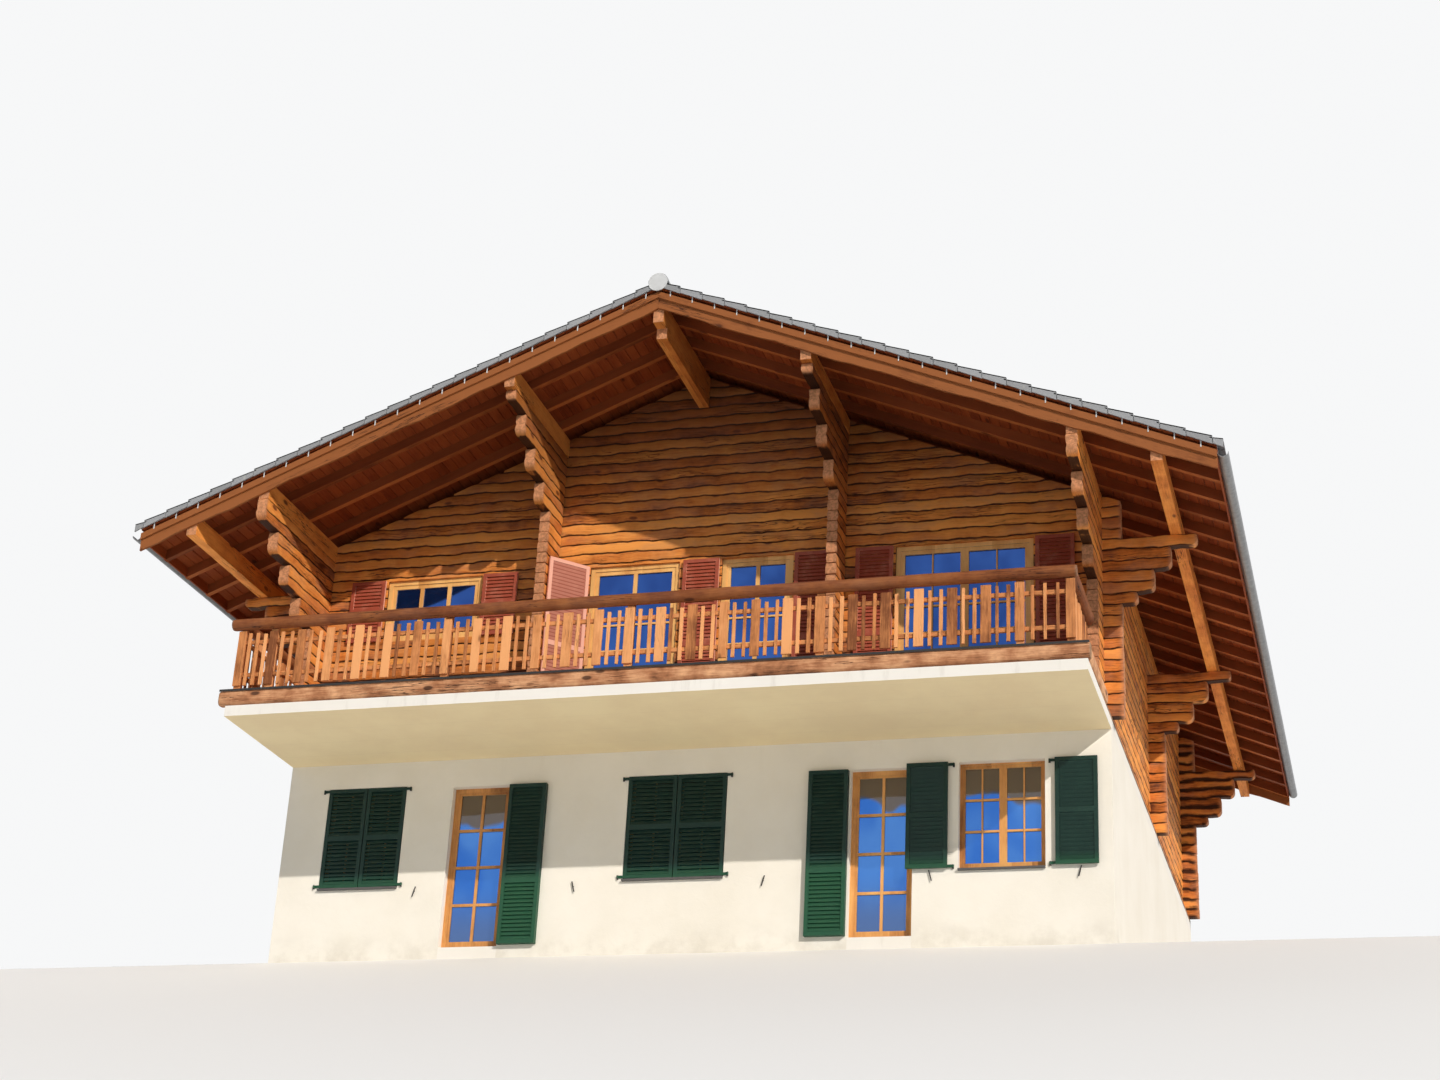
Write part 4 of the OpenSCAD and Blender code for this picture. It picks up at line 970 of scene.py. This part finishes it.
def soffit(side):
    """Boards over the rafters, along the roof, with eased lower edges."""
    piece = Piece("soffit_right" if side > 0 else "soffit_left")
    low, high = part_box("roof_boards_left")
    count = round(TAIL_X / BOARD_W)
    rng = np.random.default_rng(40 + side)
    y = np.outer(np.linspace(low.y, high.y, 5), (0, 1, 0))[:, None]
    for i in range(count):
        x0, x1 = i * TAIL_X / count + BOARD_GAP / 2, (i + 1) * TAIL_X / count - BOARD_GAP / 2
        profile = [(x0 + BOARD_EASE, 0), (x1 - BOARD_EASE, 0), (x1, BOARD_EASE),
                   (x1, SOFFIT_T), (x0, SOFFIT_T), (x0, BOARD_EASE)]
        ring = np.array([(side * x, 0.0, BOARD_Z + z + 0.0005 - SLOPE * x) for x, z in profile])
        rings = ring + y
        piece.body(rings, rng.uniform(), rings[..., [1, 0, 2]])
    return piece


def make_roof():
    for side, word in ((-1, "left"), (1, "right")):
        tile_field(side).finish("tile", "grey_tile", [f"tiles_{word}"], angle=25)
        soffit(side).finish("soffit_wood", "soffit_board", [f"roof_boards_{word}"])


INFILL_T = 0.021
CLIP_L = 0.085
CLIP_DROP = 0.110


def make_eaves():
    """Infill boards between the rafters' tails, and the bright clips of the verge tiles, one
    for each, from under the flange down on the upper verge board."""
    y0, y1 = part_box("rafters_left")[0].y + 0.005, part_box("rafters_left")[1].y - 0.005
    foot = ROOF_UNDER - SLOPE * TAIL_X + 0.006
    head = BOARD_Z - SLOPE * (TAIL_X - INFILL_T) + 0.002
    boards, clips = Piece("eave_infill"), Piece("verge_clips")
    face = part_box("verge_boards_front")[0].y - 0.0025
    for side in (-1, 1):
        x, z = side * (TAIL_X - 0.003 - INFILL_T / 2), (foot + head) / 2
        boards.bar((x, y0, z), (x, y1, z), eased(INFILL_T, head - foot, 0.002), 8)
        for y in (face, -face):
            for i in range(int(TAIL_X / COURSE_W)):
                x = (i + 0.55) * COURSE_W
                top = TILE_Z - SLOPE * x - CLIP_DROP
                clips.bar((side * x, y, top - CLIP_L), (side * x, y, top), eased(0.003, 0.015, 0.001))
    boards.finish("soffit_wood", "soffit_board")
    clips.finish("zinc", "pale_cap")


# Balcony

RAIL_R = 0.080
EDGE_W = 0.150
POST_HALF = 0.045
PLANK_W, SLAT_W, PLANK_T = 0.122, 0.048, 0.025
BAR_H, BAR_D = 0.055, 0.035
END_BAY, BAY = 0.580, 0.405
FLASHING_H = 0.030


def log_run(start, end, ease):
    """Places along a log, close together at its ends: how far along each is, how far from the
    nearer end, the log's middle there, and the level direction across it."""
    start, end = np.array(start, float), np.array(end, float)
    length = np.linalg.norm(end - start)
    close = ease / length
    t = np.linspace(0, 1, max(3, int(length / 0.12)) + 1)
    t = np.unique(np.concatenate([t, [close * 0.3, close, 1 - close, 1 - close * 0.3]]))
    u = t * length
    side = np.cross((end - start) / length, UP)
    return u, np.minimum(u, length - u), start + (end - start) * t[:, None], side


def add_log(piece, run, across, up, tip, tone):
    """Adds a log whose rings are given across and up from its middle."""
    u, _, centre, side = run
    rings = centre[:, None] + across[..., None] * side + up[..., None] * UP
    piece.body(rings, tone, np.stack([np.broadcast_to(u[:, None], across.shape), across, up], -1), tip)


def round_log(piece, start, end, seed):
    """A round rail whose thickness wanders along it: radius * (0.955 + 0.04 * wander) * lump,
    which is at most half a percent thicker than the plain cylinder of the frame."""
    run = u, ends, *_ = log_run(start, end, 0.03)
    angles = np.linspace(0, 2 * np.pi, 17)[:-1]
    tip = np.clip(1 - ends / 0.02, 0, 1)[:, None]
    swell = (0.955 + 0.04 * wander(u, seed))[:, None] * (1 - 0.10 * tip)
    lump = 1 + 0.015 * np.sin(3 * angles + 2 * wander(u, (seed, 1))[:, None] + seed)
    r = RAIL_R * swell * np.minimum(lump, 1.01)
    add_log(piece, run, r * np.cos(angles), r * np.sin(angles), tip, 0.5)


def edge_log(piece, start, end, height, seed):
    """A squared log with round faces and a wandering top and bottom, inside its plain box.
    Section: |across / w| ** 4 + |up / h| ** 2.6 = 1."""
    run = u, ends, *_ = log_run(start, end, 0.02)
    angles = np.linspace(0, 2 * np.pi, 21)[:-1]
    tip = np.clip(1 - ends / 0.015, 0, 1)[:, None]
    c, s = np.cos(angles), np.sin(angles)
    w = EDGE_W / 2 * (0.975 + 0.02 * wander(u, (seed, 1)))[:, None] * (1 - 0.08 * tip)
    h = height / 2 * (0.96 + 0.035 * wander(u, (seed, 2)))[:, None] * (1 - 0.08 * tip)
    across, up = w * np.sign(c) * np.abs(c) ** 0.5, h * np.sign(s) * np.abs(s) ** (2 / 2.6)
    add_log(piece, run, across, up, tip, 0.45 + 0.1 * (seed % 3))


def rail_board(piece, place, way, z0, z1, width, seed):
    """An upright board with slightly wandering edges. way is the direction along the railing,
    place the middle of its foot on its front face."""
    rng = np.random.default_rng(seed)
    width *= rng.uniform(0.90, 1.10)
    ease = 0.003
    z = np.linspace(z0, z1, 9)
    left = -width / 2 + ease + ease * wander(z, (seed, 1))
    right = width / 2 - ease - ease * wander(z, (seed, 2))
    way = np.array(way, float)
    lefts = np.stack([left + ease, right - ease, right, right, left, left], -1)
    depths = np.broadcast_to([0, 0, ease, PLANK_T, PLANK_T, ease], lefts.shape)
    rings = np.array(place, float) + lefts[..., None] * way + depths[..., None] * np.cross(UP, way)
    rings[..., 2] = z[:, None]
    grain = np.stack([np.broadcast_to(z[:, None], lefts.shape), lefts, depths], -1) + rng.uniform(0, 9)
    piece.body(rings, rng.uniform(), grain)


def make_balcony():
    """Handrail, logs on the slab's edge with their dark flashing, and the balustrade."""
    low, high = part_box("handrail")
    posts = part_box("balustrade_posts")
    post_left, post_right = posts[0].x + POST_HALF, posts[1].x - POST_HALF
    y, z = low.y + RAIL_R, (low.z + high.z) / 2
    piece = Piece("hand_rail")
    round_log(piece, (low.x, y, z), (high.x, y, z), 51)
    for x, seed in ((post_left, 52), (post_right, 53)):
        round_log(piece, (x, y + 0.03, z), (x, high.y, z), seed)
    piece.finish("dark_log", "hand_rail_wood", ["handrail"])

    low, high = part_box("edge_logs")
    y, z = low.y + EDGE_W / 2, (low.z + high.z) / 2
    piece = Piece("edge_log")
    edge_log(piece, (low.x, y, z), (high.x, y, z), high.z - low.z, 54)
    for x, seed in ((low.x + 0.07 + EDGE_W / 2, 55), (high.x - EDGE_W / 2, 56)):
        edge_log(piece, (x, low.y + EDGE_W, z), (x, high.y, z), high.z - low.z, seed)
    piece.finish("dark_log", "edge_log_wood", ["edge_logs"])

    piece = Piece("edge_flashing")
    y, z = low.y - 0.003, high.z - FLASHING_H / 2 + 0.004
    piece.bar((low.x + 0.005, y, z), (high.x - 0.005, y, z), eased(0.004, FLASHING_H, 0.001), 4)
    piece.finish("zinc", "black_iron")
    make_boards(post_left, post_right)


def make_boards(post_left, post_right):
    """Broad boards with thinner slats between them, in front of two bars from post to post."""
    low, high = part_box("balustrade_boards")
    posts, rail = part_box("balustrade_posts"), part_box("handrail")
    front = posts[0].y - PLANK_T
    slat_top = high.z - 0.030
    piece = Piece("rail_boards")
    first, last = rail[0].x + END_BAY, rail[1].x - END_BAY - 0.100
    bays = round((last - first) / BAY)
    bay = (last - first) / bays
    planks = [post_left, post_right] + [first + i * bay for i in range(bays + 1)]
    slats = [first + (i + s / 3) * bay for i in range(bays) for s in (1, 2)]
    slats += [a + s / 4 * (b - a) for a, b in ((post_left, first), (last, post_right)) for s in (1, 2, 3)]
    seed = 1000
    rng = np.random.default_rng(seed)
    for x in planks:
        seed += 3
        drop = 0.0 if x in (post_left, post_right) else 0.010 + 0.025 * rng.uniform()
        rail_board(piece, (x, front, 0), (1, 0, 0), low.z, high.z - drop, PLANK_W, seed)
    for x in slats:
        seed += 3
        rail_board(piece, (x, front, 0), (1, 0, 0), low.z, slat_top - 0.030 * rng.uniform(), SLAT_W, seed)
    section = eased(BAR_D, BAR_H, 0.004)
    bar_z = [low.z + share * (high.z - low.z) for share in (0.2, 0.8)]
    y = front + PLANK_T + BAR_D / 2 + 0.0005
    for z in bar_z:
        piece.bar((post_left - POST_HALF, y, z), (post_right + POST_HALF, y, z), section, 12, tone=0.35)
    y0, y1 = posts[1].y + 0.002, high.y
    places = [(i / 4, PLANK_W, high.z) for i in (1, 2, 3)]
    places += [((i + s / 3) / 4, SLAT_W, slat_top) for i in range(4) for s in (1, 2)]
    for post, way in ((post_left, -1), (post_right, 1)):
        x = post - way * (BAR_D / 2 + PLANK_T)
        for z in bar_z:
            piece.bar((x, y0, z), (x, y1, z), section, 4, tone=0.35)
        for share, width, top in places:
            seed += 3
            rail_board(piece, (post, y0 + share * (y1 - y0), 0), (0, way, 0), low.z, top, width, seed)
    piece.finish("rail_wood", "rail_board", ["balustrade_boards"])


DECK_W = 0.145


def make_deck():
    """Boards of the balcony and upper floor, along the front, a few millimetres apart."""
    low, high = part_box("deck")
    piece = Piece("deck_boards")
    count = round((high.y - low.y) / DECK_W)
    step = (high.y - low.y) / count
    section = eased(step - 0.005, high.z - low.z - 0.001, 0.003)
    rng = np.random.default_rng(60)
    for i in range(count):
        y, z = low.y + (i + 0.5) * step, (low.z + high.z) / 2
        half = high.x - (0.121 if y < FRONT_TIPS + step else 0.001)
        piece.bar((-half, y, z), (half, y, z), section, 8, shift=rng.uniform(0, 9), tone=rng.uniform())
    piece.finish("deck_wood", "deck_board", ["deck"])


# Joinery

SASH_BAR_D = 0.020
# Width beside the panes, half of the meeting stiles, height added to the foot, width of a bar
UPPER_SASH = (0.115, 0.027, 0.0, 0.028)
WIDE_SASH = (0.115, 0.055, 0.0, 0.028)
GROUND_SASH = (0.065, 0.048, 0.030, 0.030)
GROUND_SILL, GROUND_HEAD = 0.970, 2.340
GROUND_WINDOWS = [(x - w / 2, x + w / 2, GROUND_SILL, GROUND_HEAD)
                  for x, w in ((-4.350, 1.120), (-0.035, 1.330), (4.145, 1.070))]
GROUND_REAR = [(x0, x1, GROUND_SILL, GROUND_HEAD) for x0, x1, _, _ in REAR_OPENINGS]
UPPER_PANE_SET, GROUND_PANE_SET = 0.145, 0.135


def glazing_bars(piece, opening, y, out, leaves, columns, rows, sash):
    """Bars in front of the panes of one window: upright ones first, then level ones."""
    x0, x1, z0, z1 = opening
    edge, meet, foot_more, width = sash
    pane = (x1 - x0 - 2 * edge - 2 * (leaves - 1) * meet) / leaves
    foot, head = z0 + edge + foot_more, z1 - edge
    for i in range(leaves):
        left = x0 + edge + i * (pane + 2 * meet)
        for c in range(1, columns):
            x = left + pane * c / columns
            add_bar(piece, (x, y, foot), (x, y, head), width, out, 0)
        for r in range(1, rows):
            z = foot + (head - foot) * r / rows
            add_bar(piece, (left, y, z), (left + pane, y, z), width, out, 1)


def add_bar(piece, start, end, width, out, level):
    """A moulded bar with eased edges. Level ones lie 1 mm deeper than the upright ones."""
    shift = np.array((0, out * (SASH_BAR_D / 2 - level * 0.001), 0))
    section = (SASH_BAR_D, width) if level else (width, SASH_BAR_D)
    piece.bar(np.array(start) + shift, np.array(end) + shift, eased(*section, 0.004))


def make_bars():
    upper, ground = Piece("upper_bars"), Piece("ground_bars")
    layout = [(3, 1, 1, UPPER_SASH), (2, 1, 6, UPPER_SASH), (2, 1, 6, UPPER_SASH), (2, 2, 6, WIDE_SASH)]
    for opening, panes in zip(FRONT_OPENINGS, layout):
        glazing_bars(upper, opening, FRONT_FACE + UPPER_PANE_SET, -1, *panes)
    for opening in REAR_OPENINGS:
        glazing_bars(upper, opening, REAR_FACE - UPPER_PANE_SET, 1, 2, 1, 3, UPPER_SASH)
    upper.finish("pale_pine", "pine_bar")
    for opening in GROUND_WINDOWS:
        glazing_bars(ground, opening, FRONT_FACE + GROUND_PANE_SET, -1, 2, 2, 3, GROUND_SASH)
    for opening in GROUND_REAR:
        glazing_bars(ground, opening, REAR_FACE - GROUND_PANE_SET, 1, 2, 2, 3, GROUND_SASH)
    ground.finish("honey_wood", "honey_bar")


DOG_X = (-3.535, -1.347, 1.156, 3.268, 5.098)
DOG_TOP, DOG_L, DOG_STEM = 0.960, 0.135, 0.06
DOG_LEAN = 0.018


def make_dogs():
    """Shutter dogs on the front wall, each a leaning strap on a short stem."""
    piece = Piece("shutter_dogs")
    for i, x in enumerate(DOG_X):
        lean = DOG_LEAN * (-1) ** i
        y, z = FRONT_FACE - 0.023, DOG_TOP - DOG_STEM
        piece.bar((x, FRONT_FACE + 0.004, z), (x, y - 0.001, z), eased(0.012, 0.012, 0.003))
        piece.bar((x - lean, y, DOG_TOP - DOG_L), (x + lean, y, DOG_TOP), eased(0.006, 0.016, 0.002))
    piece.finish("iron", "black_iron")


# Camera, light and floor

CAMERA_PLACE = (8.928, -32.091, -7.334)
CAMERA_TURN = (114.056, -2.798, 15.923)
CAMERA_LENS = 59.56
SENSOR = 36.0
CLIP_END = 500
# Strength, spread, compass angle and height in degrees, and colour of each lamp
LAMPS = {
    "key": (3.05, 0.7, -44.0, 28.2, (1.0, 0.935, 0.88)),
    "fill": (0.5, 60.0, 150.0, 35.0, (0.93, 0.96, 1.0)),
}
SKY_LIGHT, SKY_STRENGTH = (0.88, 0.94, 1.0), 0.37
BACKGROUND = (0.93, 0.935, 0.94)
FLOOR_COLOUR = (0.80, 0.79, 0.77)
FLOOR_HALF = 90
FLOOR_FRONT = -60
FLOOR_NEAR, FLOOR_FAR = 11.0, 34.0
GROUND_FALL = math.tan(math.radians(18.5))


def make_camera():
    """The photograph's place and angle, solved from the house's own corners."""
    data = bpy.data.cameras.new("camera")
    data.lens, data.sensor_width, data.clip_end = CAMERA_LENS, SENSOR, CLIP_END
    camera = show("camera", data)
    camera.location = CAMERA_PLACE
    camera.rotation_euler = [math.radians(a) for a in CAMERA_TURN]
    bpy.context.scene.camera = camera


def make_sun(name, strength, spread, azimuth, height, colour):
    """A lamp that shines from a compass angle, 0 from the front and 90 from the left."""
    data = bpy.data.lights.new(name, "SUN")
    data.energy, data.angle, data.color = strength, math.radians(spread), colour
    a, h = math.radians(azimuth), math.radians(height)
    way = Vector((-math.sin(a) * math.cos(h), -math.cos(a) * math.cos(h), math.sin(h)))
    show(name, data).rotation_euler = way.to_track_quat("Z", "Y").to_euler()


def make_world():
    """Pale behind the house and in its glass, weaker as light on its surfaces."""
    world = bpy.data.worlds.new("studio")
    bpy.context.scene.world = world
    tree = Tree(world)
    ray = tree.node("ShaderNodeLightPath", {}, {})
    seen = ray.out("Is Camera Ray") + ray.out("Is Glossy Ray")
    terms = {0: seen, 1: ray.out("Is Transmission Ray")}
    seen = tree.node("ShaderNodeMath", {"operation": "ADD", "use_clamp": True}, terms)
    light = tree.node("ShaderNodeBackground", {}, {"Color": SKY_LIGHT, "Strength": SKY_STRENGTH})
    shown = tree.node("ShaderNodeBackground", {}, {"Color": BACKGROUND})
    mixed = tree.node("ShaderNodeMixShader", {}, {0: seen, 1: light, 2: shown})
    tree.node("ShaderNodeOutputWorld", {}, {"Surface": mixed})


def make_floor():
    """Pale floor: level under and behind the house, falling away in front of it, as the ground
    in the photograph does. Far from the house it takes the background's own colour."""
    x = np.linspace(-FLOOR_HALF, FLOOR_HALF, 13)
    y = np.concatenate([np.linspace(FLOOR_FRONT, FRONT_FACE, 15), np.linspace(FRONT_FACE, FLOOR_HALF, 8)[1:]])
    z = np.minimum(0, y - FRONT_FACE) * GROUND_FALL
    grid = np.stack([*np.meshgrid(x, y, indexing="ij"), np.broadcast_to(z, (len(x), len(y)))], -1)
    n, m = grid.shape[:2]
    i, j = np.mgrid[0:n - 1, 0:m - 1]
    quads = np.stack([i * m + j, (i + 1) * m + j, (i + 1) * m + j + 1, i * m + j + 1], -1).reshape(-1, 4)
    mesh = bpy.data.meshes.new("floor")
    mesh.from_pydata(grid.reshape(-1, 3).tolist(), [], quads.tolist())
    f = Finish("floor_paint", Base_Color=FLOOR_COLOUR, Roughness=0.9)
    px, py, _ = f.place().parts()
    far = (px * px + py * py).root().rise(FLOOR_NEAR, FLOOR_FAR)
    far = far * f.node("ShaderNodeLightPath", {}, {}, "Is Camera Ray")
    glow = f.node("ShaderNodeEmission", {}, {"Color": BACKGROUND})
    f.put(f.end.inputs["Surface"], f.node("ShaderNodeMixShader", {}, {0: far, 1: f.shader, 2: glow}))
    mesh.materials.append(f.material)
    show("floor", mesh)


bpy.context.scene.view_settings.view_transform = "Standard"
make_camera()
make_world()
for lamp, settings in LAMPS.items():
    make_sun(lamp, *settings)
make_floor()
dress_frame()
make_logs()
make_roof()
make_eaves()
make_balcony()
make_deck()
make_bars()
make_dogs()
